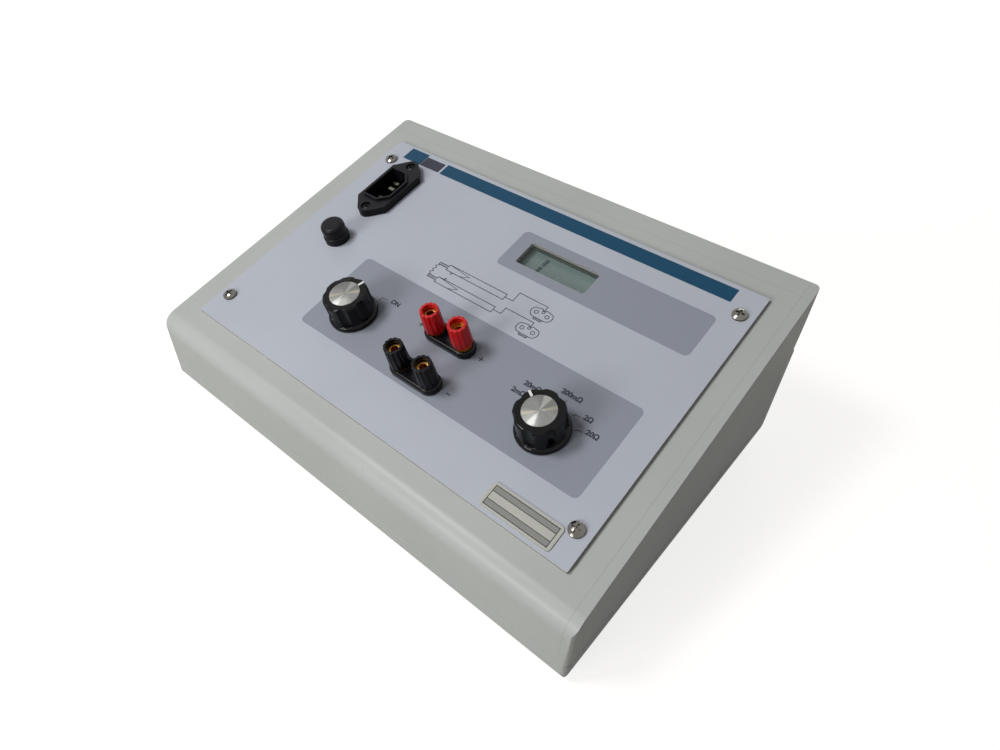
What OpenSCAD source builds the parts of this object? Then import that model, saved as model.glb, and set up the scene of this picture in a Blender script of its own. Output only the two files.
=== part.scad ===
// Bench four-terminal resistance meter with a sloping panel.
// The origin is at the centre of the footprint, on the surface that the feet stand on.
// X runs to the right, Y to the back and Z up. Millimetres.

/* [Case] */
// Width of the case
case_w = 288; // [282:1:310]
// Depth from the front face to the back of the rear block
case_d = 199; // [198:1:212]
// Thickness of the moulded walls
wall_t = 3; // [2.6:0.1:3.2]
// Angle of the sloping face
tilt = 17; // [16:0.5:18]
// Height above the underside at which the front face and the slope would meet
front_h = 39.6; // [38:0.2:46]
// Radius of the roll between the front face and the slope
roll_r = 11; // [8:0.5:13]
// Height of the seam between the cover and the tray
seam_h = 9.5; // [8.5:0.5:11]
// Gap left open along the seam
seam_gap = 0.3; // [0.2:0.1:0.5]
// Radius of the upright corners
corner_r = 3; // [2:0.5:3]
// Radius of the tray's bottom edges at the front and sides
bottom_r = 3; // [1.5:0.5:3]
// Radius of the tray's bottom edge at the back
back_bottom_r = 12; // [8:1:14]
// Depth of the raised block along the back of the tray
block_d = 14.5; // [13:0.5:16]
// Height of the block at its front edge
block_front_h = 59.5; // [56:0.5:61]
// Height of the block at its ridge, under the cover's rear wall
block_ridge_h = 62.6; // [61:0.2:66]
// Height of the block's rear corner
block_back_h = 58.2; // [54:0.2:61]
// Distance from the block's back face to the cover's top rear edge
top_set = 1.5; // [1:0.5:3]
// How far the cover's rear wall leans in on its way down
rear_lean = 4.1; // [2:0.1:5]
// Thickness of the lip that the tray stands up inside the cover
lip_t = 1.5; // [1.2:0.1:2]
// Height of that lip above the seam
lip_h = 3; // [2:0.5:4]

/* [Feet and case screws] */
// Radius of a rubber foot
foot_r = 6.35; // [5:0.05:7]
// Height of a rubber foot
foot_h = 3.5; // [3:0.1:5]
// Distance from the case's sides, front and back to a foot's axis
foot_inset = 22; // [18:1:26]
// Distance from the case's sides to a case screw
post_inset = 14; // [13:1:16]
// Distance from the front face to the front case screws
post_front = 42; // [40:1:48]
// Distance from the back of the rear block to the back case screws
post_back = 49; // [45:1:53]
// Radius of the cover's screw posts
post_r = 4.5; // [4:0.1:5]
// Height of the tray's screw bosses above the underside
boss_h = 12; // [11:0.5:16]

/* [Panel] */
// Distance from the case's sides to the panel's sides
panel_side = 16; // [14:0.5:18]
// Distance up the slope from the front corner to the panel's front edge
panel_front = 17; // [15:0.5:19]
// Distance up the slope from the panel's back edge to the back of the rear block
panel_back = 23.1; // [20:0.1:26]
// Thickness of the front panel
panel_t = 2; // [1.5:0.1:2.5]
// Width of the cover's rim under the panel's sides
panel_lap_x = 15; // [14:0.5:16]
// Width of the cover's rim under the panel's front and back
panel_lap_y = 10; // [8:0.5:12]
// Distance from the panel's sides to its screws
panel_screw_x = 7.3; // [6.5:0.1:8]
// Distance from the panel's front and back to its screws
panel_screw_y = 16.8; // [15:0.2:18]
// Width of the bare plate at the panel's front right
plate_w = 38; // [30:1:42]
// Height of the bare plate
plate_l = 12.6; // [10:0.2:13]
// Thickness of the bare plate
plate_t = 0.6; // [0.4:0.1:1]

/* [Knobs] */
// Place of the power knob across the panel
power_x = -47.2; // [-52:0.1:-42]
// Distance from the panel's front edge to both knobs' axes
knob_front = 47; // [44:0.1:50]
// Distance from the panel's right side to the range knob's axis
range_side = 47.7; // [44:0.1:52]
// Angle of the power knob's pointer, from the right, anticlockwise
power_pointer = 75; // [60:5:120]
// Angle of the range knob's pointer, from the right, anticlockwise
range_pointer = 150; // [30:5:150]
// Height of a knob's top above the panel
knob_h = 16.4; // [15:0.2:20]
// Radius of the round skirt at a knob's foot
skirt_r = 13.5; // [13:0.1:15]
// Height of the skirt's top above the panel
skirt_h = 3.2; // [3:0.1:3.6]
// Radius over a knob's lobes
lobe_r = 12.2; // [11.8:0.1:12.8]
// Radius at the bottom of a knob's flutes
dip_r = 10.9; // [10.4:0.1:11.2]
// Radius of the tool that cuts a flute
flute_r = 4.6; // [3.5:0.1:6]
// Number of lobes round a knob
lobes = 7; // [5:2:9]
// Radius of the metal disc in a knob's top
disc_r = 8.2; // [7.5:0.1:8.6]
// Thickness of that disc
disc_t = 0.8; // [0.6:0.1:1.2]
// Radius of a switch shaft
shaft_r = 3; // [2.5:0.1:3.2]
// Radius of a rotary switch's can
can_r = 13; // [11:0.5:14]
// Length of a rotary switch's can behind the panel
can_l = 15; // [12:0.5:17]

/* [Binding posts] */
// Place of the posts across the panel
posts_x = 10.4; // [6:0.1:14]
// Distance from the panel's front edge to the red posts
red_front = 61.7; // [60:0.1:63]
// Distance from the panel's front edge to the black posts
black_front = 35.7; // [34:0.1:37]
// Distance between the two posts of a pair
post_pitch = 19.05; // [18:0.05:20]
// Length of a pair's base plate
base_l = 31.5; // [30:0.5:34]
// Width of a pair's base plate
base_w = 12.4; // [11.6:0.1:14]
// Thickness of a pair's base plate
base_t = 4; // [3:0.1:5]
// Outer radius of a brass stud
stud_r = 2.8; // [2.7:0.05:3]
// Radius of the plug bore in a stud
bore_r = 2.05; // [2:0.01:2.1]
// Depth of the plug bore
bore_l = 14; // [12:0.5:15]
// Height of a stud's top above the panel
stud_top = 15.7; // [15:0.1:16.5]
// Height of a screwed-down cap's top above the panel
cap_top = 18.7; // [17.8:0.1:20]
// Radius at a cap's foot
cap_foot_r = 5.5; // [5.3:0.1:5.8]
// Radius at a cap's top
cap_top_r = 5; // [4.9:0.1:5.3]
// Radius of the opening in a cap's top
cap_mouth_r = 3.5; // [3.1:0.1:3.6]
// How far the right red cap is unscrewed in the photograph
raised_by = 1.8; // [0:0.1:2]
// Number of flutes round a cap
cap_flutes = 12; // [8:1:16]

/* [Fuse holder] */
// Distance from the panel's left side to the fuse holder's axis
fuse_side = 29.1; // [26:0.1:32]
// Distance down the panel from the inlet's centre to the fuse holder's axis
fuse_drop = 45.9; // [42:0.1:50]
// Radius of the holder's flange
fuse_flange_r = 7.5; // [7.2:0.1:9]
// Height of the flange above the panel
fuse_flange_h = 4.8; // [4:0.1:5.5]
// Radius of the fuse cap
fuse_cap_r = 6.95; // [6.6:0.05:7.1]
// Height of the fuse cap's top above the panel
fuse_cap_top = 11.5; // [10:0.1:13]
// Radius of the holder's barrel behind the panel
fuse_barrel_r = 6.2; // [6:0.1:6.6]
// Radius of the fuse
fuse_r = 3.15; // [3:0.05:3.3]
// Length of the fuse
fuse_l = 32; // [30:0.5:33]

/* [Mains inlet] */
// Distance from the panel's left side to the inlet's centre
inlet_side = 28.8; // [27:0.1:31]
// Distance from the panel's back edge to the inlet's centre
inlet_back = 39.5; // [38:0.1:42]
// Width of the inlet's flange
inlet_w = 22.5; // [21.5:0.5:24]
// Length of the flange from ear to ear
inlet_l = 50; // [49:0.5:52]
// Length of the flange's straight sides
inlet_side_l = 31.2; // [30:0.2:32]
// Thickness of the flange
inlet_t = 4.8; // [4:0.1:5.2]
// Height of the socket's rim above the panel
rim_h = 6; // [5.4:0.1:7]
// Width of the socket's opening
socket_w = 16.2; // [16:0.1:16.6]
// Length of the socket's opening
socket_l = 25; // [24.6:0.1:25.4]
// Leg of the two cut corners of the opening
socket_cut = 5.5; // [4:0.1:6]
// Depth of the socket below its rim
socket_d = 17; // [15:0.5:18]
// Wall round the socket
socket_wall = 1.3; // [1:0.1:1.6]
// Distance between the inlet's screws
inlet_pitch = 40; // [39.5:0.1:41]

/* [Display] */
// Place of the display's window across the panel
window_x = 26.5; // [22:0.1:32]
// Distance from the panel's back edge to the middle of the display's window
window_back = 37.4; // [35:0.1:40]
// Width of the window
window_w = 45; // [42:0.5:48]
// Height of the window
window_l = 16; // [14:0.5:18]
// Width of the liquid crystal glass
glass_w = 54; // [52:0.5:56]
// Height of the liquid crystal glass
glass_l = 27; // [25:0.5:28]
// Thickness of the liquid crystal glass
glass_t = 2.8; // [2:0.1:3]

/* [Inside] */
// Width of the main board
board_w = 140; // [130:1:144]
// Length of the main board
board_l = 76; // [72:1:76]
// Thickness of every circuit board
board_t = 1.6; // [1.2:0.1:2]
// Height of the main board's standoffs
standoff_h = 8; // [6:0.5:10]
// Width of the transformer's core
core_w = 57; // [54:0.5:60]
// Height of the transformer's core
core_h = 48; // [45:0.5:50]
// Thickness of the core's stack of sheets
core_d = 22; // [20:0.5:24]
// Radius of a battery cell
cell_r = 13.1; // [12:0.1:13.3]
// Length of a battery cell over its nub
cell_l = 50; // [46:0.5:51]
// Number of battery cells, side by side
cells = 4; // [2:1:4]

/* [Hidden] */
$fn = 64;

// Overrun of every cut past the face that it opens
over = 1;
// Clearance between a fixed piece and the hole that it sits in
fit_gap = 0.1;
// Clearance between a turning or sliding piece and its bearing
run_gap = 0.05;
// Clearance between pieces that move past each other
free_gap = 0.3;

// Places along the side of the case, from the front face backwards
block_u = case_d - block_d;
top_u = case_d - top_set;
ridge_u = top_u - rear_lean;
slope = tan(tilt);
roll_v = front_h + roll_r * slope - roll_r / cos(tilt);
inner_r = roll_r - wall_t;
tray_wall = wall_t + seam_gap + lip_t;
floor_z = foot_h + wall_t;

// The panel's size, the place of its middle up the slope, and the places of what it carries
panel_w = case_w - 2 * panel_side;
panel_l = case_d / cos(tilt) - panel_front - panel_back;
panel_up = panel_front + panel_l / 2;
range_x = panel_w / 2 - range_side;
knob_y = knob_front - panel_l / 2;
red_y = red_front - panel_l / 2;
black_y = black_front - panel_l / 2;
inlet_x = inlet_side - panel_w / 2;
inlet_y = panel_l / 2 - inlet_back;
fuse_x = fuse_side - panel_w / 2;
fuse_y = inlet_y - fuse_drop;
window_y = panel_l / 2 - window_back;

// Case screws, which hold the cover's posts to the tray's bosses
post_x = case_w / 2 - post_inset;
case_screw_r = 1.9;
case_head_r = 3.6;
case_head_h = 2.4;
case_screw_l = 20;
case_recess_h = 5;

// Panel screws and the bosses that take them
panel_corner_r = 0.8;
panel_boss_r = 4.4;
panel_boss_l = 12;
panel_screw_r = 1.6;
panel_hole_r = 2.1;
panel_head_r = 3.8;
panel_head_h = 2.4;
panel_screw_l = 10;
plate_edge_x = 11;
plate_edge_y = 2;
plate_corner_r = 1.8;

// Proportions that every cross-head screw keeps
cross_length_share = 1.25;
cross_width_share = 0.26;
cross_depth_share = 0.6;
rim_height_share = 0.45;

// Inside of a knob and the switch below it
knob_lift = 0.5;
skirt_edge_r = 1.8;
knob_edge_r = 1.2;
disc_sunk = 0.6;
shaft_up = 13.5;
shaft_in = 12;
bush_r = 4.7;
bush_h = 2.8;
switch_nut_w = 12;
switch_nut_h = 2.2;
set_screw_z = 5.6;
set_screw_r = 1.6;
set_screw_l = 6;
hex_socket_w = 1.6;
hex_socket_d = 2;
terminal_ring_share = 0.78;
terminal_w = 2;
terminal_t = 0.6;
terminal_l = 6;
power_terminals = 4;
range_terminals = 12;

// Binding posts
base_edge_r = 1.4;
collar_r = 4.6;
collar_h = 0.8;
stud_below = 14;
tag_t = 0.8;
tag_r = 5;
tag_tail_w = 3.5;
tag_tail_l = 11;
stud_nut_w = 8;
stud_nut_h = 4;
cap_z = base_t + collar_h + free_gap;
cap_edge_r = 0.8;
cap_flute_r = 0.8;
cap_flute_share = 1.07;
cap_taper = atan((cap_foot_r - cap_top_r) / (cap_top - cap_z));
insert_r = 3.7;
insert_flange_r = 4.15;
insert_flange_h = 1.2;
insert_l = 9;

// Fuse holder
fuse_edge_r = 1.5;
fuse_cap_edge_r = 2;
fuse_wall = 1;
fuse_plug_r = fuse_barrel_r - fuse_wall - free_gap;
fuse_plug_l = 8;
fuse_end_l = 6.5;
fuse_end_t = 0.4;
fuse_grip = 4;
fuse_barrel_end = 2;
fuse_nut_w = 15;
fuse_nut_h = 3;
contact_w = 4;
contact_t = 0.8;
contact_l = 8;

// Mains inlet
ear_r = 5.25;
inlet_floor_t = 2.5;
socket_rim_r = 1.8;
inlet_screw_r = 1.5;
inlet_head_r = 2.9;
inlet_head_h = 1.8;
inlet_recess_h = 1.9;
inlet_screw_l = 12;
inlet_nut_w = 5.5;
inlet_nut_h = 2.4;
blade_w = 4;
blade_t = 2;
// Distance of the blades' tips below the rim; the earth blade is the longer one
line_tip = 5.7;
earth_tip = 2.8;
blade_x = 2;
blade_y = 7;
tab_t = 0.8;
tab_l = 9;

// Display, from its window backwards
window_corner_r = 1.5;
window_sunk = 0.3;
window_flange = 3;
window_flange_t = 1.2;
frame_margin = 5;
frame_t = 5;
glass_depth = 3.4;
strip_w = 2;
strip_h = 3.2;
frame_leg_r = 3;
display_screw_r = 1.1;
display_head_r = 2.2;
display_head_h = 1.4;
display_screw_l = 6;
display_board_margin = 8;

// Main board and what stands on it
board_x_share = 0.5;
board_y_share = 0.76;
board_hole_inset = 6;
standoff_r = 3;
board_screw_r = 1.4;
board_head_r = 2.8;
board_head_h = 1.8;
board_screw_l = 7;
chip_l = 20;
chip_w = 7.6;
chip_h = 3.4;
chip_lift = 0.8;
chip_leg_pitch = 2.54;
chip_leg_w = 0.6;
chip_legs = 7;
chip_pitch = 30;
chip_row_y = 20;
cap_can_r = 8;
cap_can_h = 24;
cap_can_pitch = 20;
cap_can_edge_r = 1.5;
cap_cans = 3;
cap_row_x = -20;
cap_row_y = 22;

// Transformer
transformer_back = 30.5;
transformer_x_share = 0.24;
core_leg_share = 1 / 6;
coil_over = 10;
bracket_t = 1.2;
bracket_ear = 12;

// Battery holder, its cells and their contacts
holder_x_share = 0.5;
holder_back = 3.6;
holder_wall = 1.6;
holder_floor = 4.4;
holder_h_share = 1.45;
nub_r_share = 0.3;
nub_h = 1.5;
cell_edge_r = 1.2;
cell_contact_w_share = 0.9;
cell_contact_h_share = 1.4;
cell_contact_t = 0.5;

// Where the board, the transformer and the battery holder share the room inside the case
room_w = case_w - 2 * wall_t;
bracket_w = core_w + 2 * bracket_ear;
cell_pitch = 2 * (cell_r + free_gap) + holder_wall;
holder_w = cells * cell_pitch + holder_wall;
holder_room_l = cell_l + 2 * cell_contact_t;
holder_l = holder_room_l + 2 * holder_wall;
side_room = room_w - holder_w - bracket_w;
transformer_x = (bracket_w - room_w) / 2 + side_room * transformer_x_share;
transformer_y = case_d / 2 - transformer_back;
holder_x = (room_w - holder_w) / 2 - side_room * holder_x_share;
holder_y = case_d / 2 - back_bottom_r - holder_back - holder_l / 2;
front_room = holder_y - holder_l / 2 + case_d / 2 - wall_t - board_l;
board_x = (room_w - board_w) / 2 * board_x_share;
board_y = wall_t - case_d / 2 + front_room * board_y_share + board_l / 2;

// Screws that hold the transformer's bracket and the battery holder to the tray's floor
floor_screw_r = 1.7;
floor_head_r = 3.2;
floor_head_h = 2;
floor_grip = 2.2;

// Colours
grey_case = [0.66, 0.66, 0.64];
grey_panel = [0.70, 0.71, 0.74];
black_plastic = [0.09, 0.09, 0.10];
red_plastic = [0.70, 0.09, 0.09];
brass = [0.78, 0.62, 0.30];
steel = [0.72, 0.73, 0.75];
aluminium = [0.80, 0.81, 0.83];
board_green = [0.10, 0.38, 0.20];
rubber_black = [0.12, 0.12, 0.12];
copper_tan = [0.62, 0.36, 0.20];
clear_tint = [0.75, 0.85, 0.80, 0.4];

// Flat shapes and small parts that several pieces share

// A rectangle with round corners, centred
module round_rect(w, l, r) {
    square([w - 2 * r, l], center = true);
    square([w, l - 2 * r], center = true);
    for (x = [-1, 1])
        for (y = [-1, 1])
            translate([x * (w / 2 - r), y * (l / 2 - r)])
                circle(r = r);
}

// A standing cylinder whose top edge is rounded
module soft_cylinder(r, h, edge_r)
    rotate_extrude()
        soft_half(r, h, edge_r);

module soft_half(r, h, edge_r) {
    square([r - edge_r, h]);
    square([r, h - edge_r]);
    translate([r - edge_r, h - edge_r])
        intersection() {
            circle(r = edge_r);
            square(edge_r);
        }
}

// A bar with round ends and a rounded top edge, lying along X
module soft_bar(l, w, h, edge_r) {
    for (side = [-1, 1])
        translate([side * (l - w) / 2, 0, 0])
            soft_cylinder(w / 2, h, edge_r);
    rotate([90, 0, 90])
        linear_extrude(l - w, center = true)
            for (side = [0, 1])
                mirror([side, 0])
                    soft_half(w / 2, h, edge_r);
}

// A cross-head screw whose head rests on z = 0 and whose shank points down
module cross_screw(head_r, head_h, shank_r, shank_l) {
    rise = head_h * (1 - rim_height_share);
    dome_r = (head_r * head_r + rise * rise) / (2 * rise);
    difference() {
        union() {
            intersection() {
                cylinder(r = head_r, h = head_h);
                translate([0, 0, head_h - dome_r])
                    sphere(r = dome_r);
            }
            translate([0, 0, -shank_l])
                cylinder(r = shank_r, h = shank_l);
        }
        for (turn = [0, 90])
            rotate(turn)
                translate([0, 0, head_h])
                    cube([head_r * cross_length_share, head_r * cross_width_share,
                        2 * head_h * cross_depth_share], center = true);
    }
}

// A hexagon nut that stands on z = 0, measured across its flats
module hex_nut(w, h, hole_r)
    difference() {
        cylinder(r = w / 2 / cos(30), h = h, $fn = 6);
        translate([0, 0, -over])
            cylinder(r = hole_r, h = h + 2 * over);
    }

// A standing tube
module tube(r, hole_r, h)
    difference() {
        cylinder(r = r, h = h);
        translate([0, 0, -over])
            cylinder(r = hole_r, h = h + 2 * over);
    }

// Puts its children on the panel: z = 0 is the panel's top face
module on_panel()
    translate([0, -case_d / 2, foot_h + front_h])
        rotate([tilt, 0, 0])
            translate([0, panel_up, panel_t])
                children();

// Puts its children at every panel screw, on the panel's top face
module at_panel_screws()
    on_panel()
        for (x = [-1, 1])
            for (y = [-1, 1])
                translate([x * (panel_w / 2 - panel_screw_x), y * (panel_l / 2 - panel_screw_y), 0])
                    children();

// Puts its children on the underside of the tray, at every case screw
module at_case_screws()
    for (x = [-post_x, post_x])
        for (u = [post_front, case_d - post_back])
            translate([x, u - case_d / 2, foot_h])
                children();

// Puts its children on the panel at the two posts of a pair
module at_posts(y)
    for (side = [-1, 1])
        at_post(side, y)
            children();

module at_post(side, y)
    on_panel()
        translate([posts_x + side * post_pitch / 2, y, 0])
            children();

// Case: flat side profiles are drawn as distance back from the front face and height
// above the underside, then run across the width

module across(w)
    translate([-w / 2, -case_d / 2, foot_h])
        rotate([90, 0, 90])
            linear_extrude(w)
                children();

function slope_v(u) = front_h + u * slope;

// Solid side profile of the cover
module cover_side() {
    polygon([
        [0, seam_h + seam_gap],
        [0, roll_v],
        [roll_r, roll_v],
        [roll_r - roll_r * sin(tilt), roll_v + roll_r * cos(tilt)],
        [top_u, slope_v(top_u)],
        [ridge_u, block_ridge_h + seam_gap],
        [block_u - seam_gap, block_front_h + seam_gap],
        [block_u - seam_gap, seam_h + seam_gap]
    ]);
    translate([roll_r, roll_v])
        circle(r = roll_r);
}

// Hollow of the cover, open downwards
module cover_hollow() {
    polygon([
        [wall_t, 0],
        [wall_t, roll_v],
        [roll_r, roll_v],
        [roll_r - inner_r * sin(tilt), roll_v + inner_r * cos(tilt)],
        [top_u - wall_t, slope_v(top_u - wall_t) - wall_t / cos(tilt)],
        [ridge_u - wall_t, block_ridge_h],
        [ridge_u - wall_t, 0]
    ]);
    translate([roll_r, roll_v])
        circle(r = inner_r);
}

// Upright prism that rounds the case's corners in plan
module plan_prism(depth)
    translate([0, (depth - case_d) / 2, 0])
        linear_extrude(slope_v(case_d) + foot_h)
            round_rect(case_w, depth, corner_r);

module top_cover()
    color(grey_case)
        difference() {
            union() {
                intersection() {
                    difference() {
                        across(case_w) cover_side();
                        across(case_w - 2 * wall_t) cover_hollow();
                    }
                    plan_prism(top_u);
                }
                intersection() {
                    at_case_screws()
                        translate([0, 0, boss_h])
                            cylinder(r = post_r, h = slope_v(case_d));
                    across(case_w) cover_side();
                }
                at_panel_screws()
                    translate([0, 0, -panel_t - panel_boss_l])
                        cylinder(r = panel_boss_r, h = panel_boss_l - wall_t / 2);
            }
            on_panel()
                translate([0, 0, -panel_t - 2 * wall_t])
                    linear_extrude(2 * wall_t + over)
                        square([panel_w - 2 * panel_lap_x, panel_l - 2 * panel_lap_y], center = true);
            at_panel_screws()
                translate([0, 0, -panel_t - panel_screw_l])
                    cylinder(r = panel_screw_r + run_gap, h = panel_screw_l + over);
            at_case_screws()
                translate([0, 0, boss_h - over])
                    cylinder(r = case_screw_r + run_gap, h = case_recess_h + case_screw_l - boss_h + over);
        }

// Solid side profile of the tray and its rear block
module tray_side() {
    polygon([
        [bottom_r, 0],
        [case_d - back_bottom_r, 0],
        [case_d, back_bottom_r],
        [case_d, block_back_h],
        [ridge_u, block_ridge_h],
        [block_u, block_front_h],
        [block_u, seam_h],
        [0, seam_h],
        [0, bottom_r]
    ]);
    translate([bottom_r, bottom_r])
        circle(r = bottom_r);
    back_corner(back_bottom_r);
}

// Quarter disc that rounds the tray's bottom edge at the back, with the edge's own centre
module back_corner(r)
    translate([case_d - back_bottom_r, back_bottom_r])
        intersection() {
            circle(r = r);
            translate([0, -back_bottom_r])
                square(back_bottom_r);
        }

// Hollow of the tray, open upwards and, in the rear block, forwards
module tray_hollow() {
    rise = seam_h + lip_h + over;
    polygon([
        [tray_wall, wall_t],
        [case_d - back_bottom_r, wall_t],
        [case_d - wall_t, back_bottom_r],
        [case_d - wall_t, block_back_h - wall_t],
        [ridge_u, block_ridge_h - wall_t],
        [block_u - over, block_front_h - wall_t],
        [block_u - over, rise],
        [tray_wall, rise]
    ]);
    back_corner(back_bottom_r - wall_t);
}

// Front view of the tray, which rounds its two bottom edges at the sides
module tray_front() {
    translate([-case_w / 2, bottom_r])
        square([case_w, block_ridge_h]);
    translate([bottom_r - case_w / 2, 0])
        square([case_w - 2 * bottom_r, bottom_r + over]);
    for (side = [-1, 1])
        translate([side * (case_w / 2 - bottom_r), bottom_r])
            circle(r = bottom_r);
}

module base_tray()
    color(grey_case)
        difference() {
            union() {
                difference() {
                    union() {
                        intersection() {
                            across(case_w) tray_side();
                            plan_prism(case_d);
                            translate([0, case_d / 2, foot_h])
                                rotate([90, 0, 0])
                                    linear_extrude(case_d)
                                        tray_front();
                        }
                        tray_lip();
                    }
                    across(case_w - 2 * tray_wall) tray_hollow();
                }
                at_case_screws()
                    translate([0, 0, wall_t / 2])
                        cylinder(r = post_r + wall_t / 2, h = boss_h - wall_t / 2);
                at_board_screws()
                    translate([0, 0, -wall_t / 2])
                        cylinder(r = standoff_r, h = wall_t / 2 + standoff_h);
            }
            at_board_screws()
                cylinder(r = board_screw_r + run_gap, h = standoff_h + over);
            at_case_screws() {
                translate([0, 0, -over])
                    cylinder(r = case_head_r + fit_gap, h = case_recess_h + over);
                cylinder(r = case_screw_r + fit_gap, h = boss_h + over);
            }
            at_bracket_screws()
                floor_screw_hole();
            at_holder_screws()
                floor_screw_hole();
        }

module floor_screw_hole()
    translate([0, 0, -floor_grip])
        cylinder(r = floor_screw_r + run_gap, h = floor_grip + over);

// Lip that stands up inside the cover along the front and sides
module tray_lip() {
    reach = wall_t + seam_gap;
    translate([reach - case_w / 2, reach - case_d / 2, foot_h + wall_t])
        cube([case_w - 2 * reach, block_u - reach, seam_h + lip_h - wall_t]);
}

module rubber_feet()
    color(rubber_black)
        for (x = [-1, 1])
            for (y = [-1, 1])
                translate([x * (case_w / 2 - foot_inset), y * (case_d / 2 - foot_inset), foot_h])
                    mirror([0, 0, 1])
                        soft_cylinder(foot_r, foot_h, foot_h / 4);

module case_screws()
    color(steel)
        at_case_screws()
            translate([0, 0, case_recess_h])
                mirror([0, 0, 1])
                    cross_screw(case_head_r, case_head_h, case_screw_r, case_screw_l - over);

// Panel

module front_panel()
    color(grey_panel)
        difference() {
            on_panel()
                translate([0, 0, -panel_t])
                    linear_extrude(panel_t)
                        difference() {
                            round_rect(panel_w, panel_l, panel_corner_r);
                            translate([window_x, window_y])
                                round_rect(window_w, window_l, window_corner_r);
                            translate([inlet_x, inlet_y])
                                offset_socket(socket_wall + fit_gap);
                            for (x = [power_x, range_x])
                                translate([x, knob_y])
                                    circle(r = bush_r + fit_gap);
                            translate([fuse_x, fuse_y])
                                circle(r = fuse_barrel_r + fit_gap);
                            for (side = [-1, 1]) {
                                translate([inlet_x, inlet_y + side * inlet_pitch / 2])
                                    circle(r = inlet_screw_r + fit_gap);
                                for (y = [red_y, black_y])
                                    translate([posts_x + side * post_pitch / 2, y])
                                        circle(r = stud_r + fit_gap);
                            }
                        }
            at_panel_screws()
                translate([0, 0, -panel_t - over])
                    cylinder(r = panel_hole_r, h = panel_t + 2 * over);
        }

module panel_screws()
    color(steel)
        at_panel_screws()
            cross_screw(panel_head_r, panel_head_h, panel_screw_r, panel_screw_l);

module serial_plate()
    color(aluminium)
        on_panel()
            translate([(panel_w - plate_w) / 2 - plate_edge_x, (plate_l - panel_l) / 2 + plate_edge_y, 0])
                linear_extrude(plate_t)
                    round_rect(plate_w, plate_l, plate_corner_r);

// Display

module at_window()
    on_panel()
        translate([window_x, window_y, -panel_t])
            children();

module display_window()
    color(clear_tint)
        at_window() {
            translate([0, 0, -window_flange_t])
                linear_extrude(window_flange_t)
                    round_rect(window_w + 2 * window_flange, window_l + 2 * window_flange, window_corner_r);
            linear_extrude(panel_t - window_sunk)
                round_rect(window_w - 2 * fit_gap, window_l - 2 * fit_gap, window_corner_r - fit_gap);
        }

module at_display_legs()
    for (x = [-1, 1])
        for (y = [-1, 1])
            translate([x * (glass_w / 2 + frame_margin), y * (glass_l / 2 + frame_margin), 0])
                children();

module display_frame() {
    outer_w = glass_w + 2 * frame_margin;
    outer_l = glass_l + 2 * frame_margin;
    flange_w = window_w + 2 * (window_flange + fit_gap);
    flange_l = window_l + 2 * (window_flange + fit_gap);
    leg_l = glass_depth + glass_t + strip_h;
    color(black_plastic)
        at_window()
            difference() {
                union() {
                    translate([-outer_w / 2, -outer_l / 2, -frame_t])
                        cube([outer_w, outer_l, frame_t]);
                    at_display_legs()
                        translate([0, 0, -leg_l])
                            cylinder(r = frame_leg_r, h = leg_l);
                }
                translate([0, 0, -window_flange_t - fit_gap])
                    linear_extrude(window_flange_t + fit_gap + over)
                        square([flange_w, flange_l], center = true);
                translate([0, 0, -frame_t - over])
                    linear_extrude(frame_t + 2 * over)
                        square([window_w, window_l], center = true);
                translate([0, 0, -leg_l - over])
                    linear_extrude(leg_l - glass_depth + over)
                        square([glass_w + 2 * fit_gap, glass_l + 2 * fit_gap], center = true);
                at_display_legs()
                    translate([0, 0, -leg_l - over])
                        cylinder(r = display_screw_r + run_gap, h = display_screw_l + over);
            }
}

module display_glass()
    color([0.55, 0.60, 0.52])
        at_window()
            translate([0, 0, -glass_depth - glass_t])
                linear_extrude(glass_t)
                    square([glass_w, glass_l], center = true);

module display_contact_strips()
    color(rubber_black)
        at_window()
            for (side = [-1, 1])
                translate([0, side * (glass_l / 2 - strip_w), -glass_depth - glass_t - strip_h / 2])
                    cube([glass_w - 2 * strip_w, strip_w, strip_h], center = true);

module display_board()
    color(board_green)
        at_window()
            translate([0, 0, -glass_depth - glass_t - strip_h - board_t])
                linear_extrude(board_t)
                    difference() {
                        square([glass_w + 2 * (frame_margin + display_board_margin),
                            glass_l + 2 * display_board_margin], center = true);
                        at_display_legs()
                            circle(r = display_screw_r + fit_gap);
                    }

module display_screws()
    color(steel)
        at_window()
            at_display_legs()
                translate([0, 0, -glass_depth - glass_t - strip_h - board_t])
                    mirror([0, 0, 1])
                        cross_screw(display_head_r, display_head_h, display_screw_r, display_screw_l);

// Mains inlet

module at_inlet()
    on_panel()
        translate([inlet_x, inlet_y, 0])
            children();

// Point where a line from a corner at p touches the circle round c, on the side away from the origin
function touch(p, c, r) =
    let (away = p - c, turn = atan2(away[1], away[0]) + acos(r / norm(away)))
    c + r * [cos(turn), sin(turn)];

module inlet_outline() {
    corner = [inlet_w / 2, inlet_side_l / 2];
    ear = [0, inlet_l / 2 - ear_r];
    edge = touch(corner, ear, ear_r);
    for (side = [0, 1])
        mirror([0, side]) {
            polygon([corner, edge, [-edge[0], edge[1]], [-corner[0], corner[1]],
                [-corner[0], 0], [corner[0], 0]]);
            translate(ear)
                circle(r = ear_r);
        }
}

// Outline of the socket's opening, widened by a wall, with its two cut corners on the right
module offset_socket(wall) {
    half_w = socket_w / 2 + wall;
    half_l = socket_l / 2 + wall;
    cut = socket_cut + wall * (2 - sqrt(2));
    polygon([
        [-half_w, -half_l],
        [half_w - cut, -half_l],
        [half_w, cut - half_l],
        [half_w, half_l - cut],
        [half_w - cut, half_l],
        [-half_w, half_l]
    ]);
}

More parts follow.
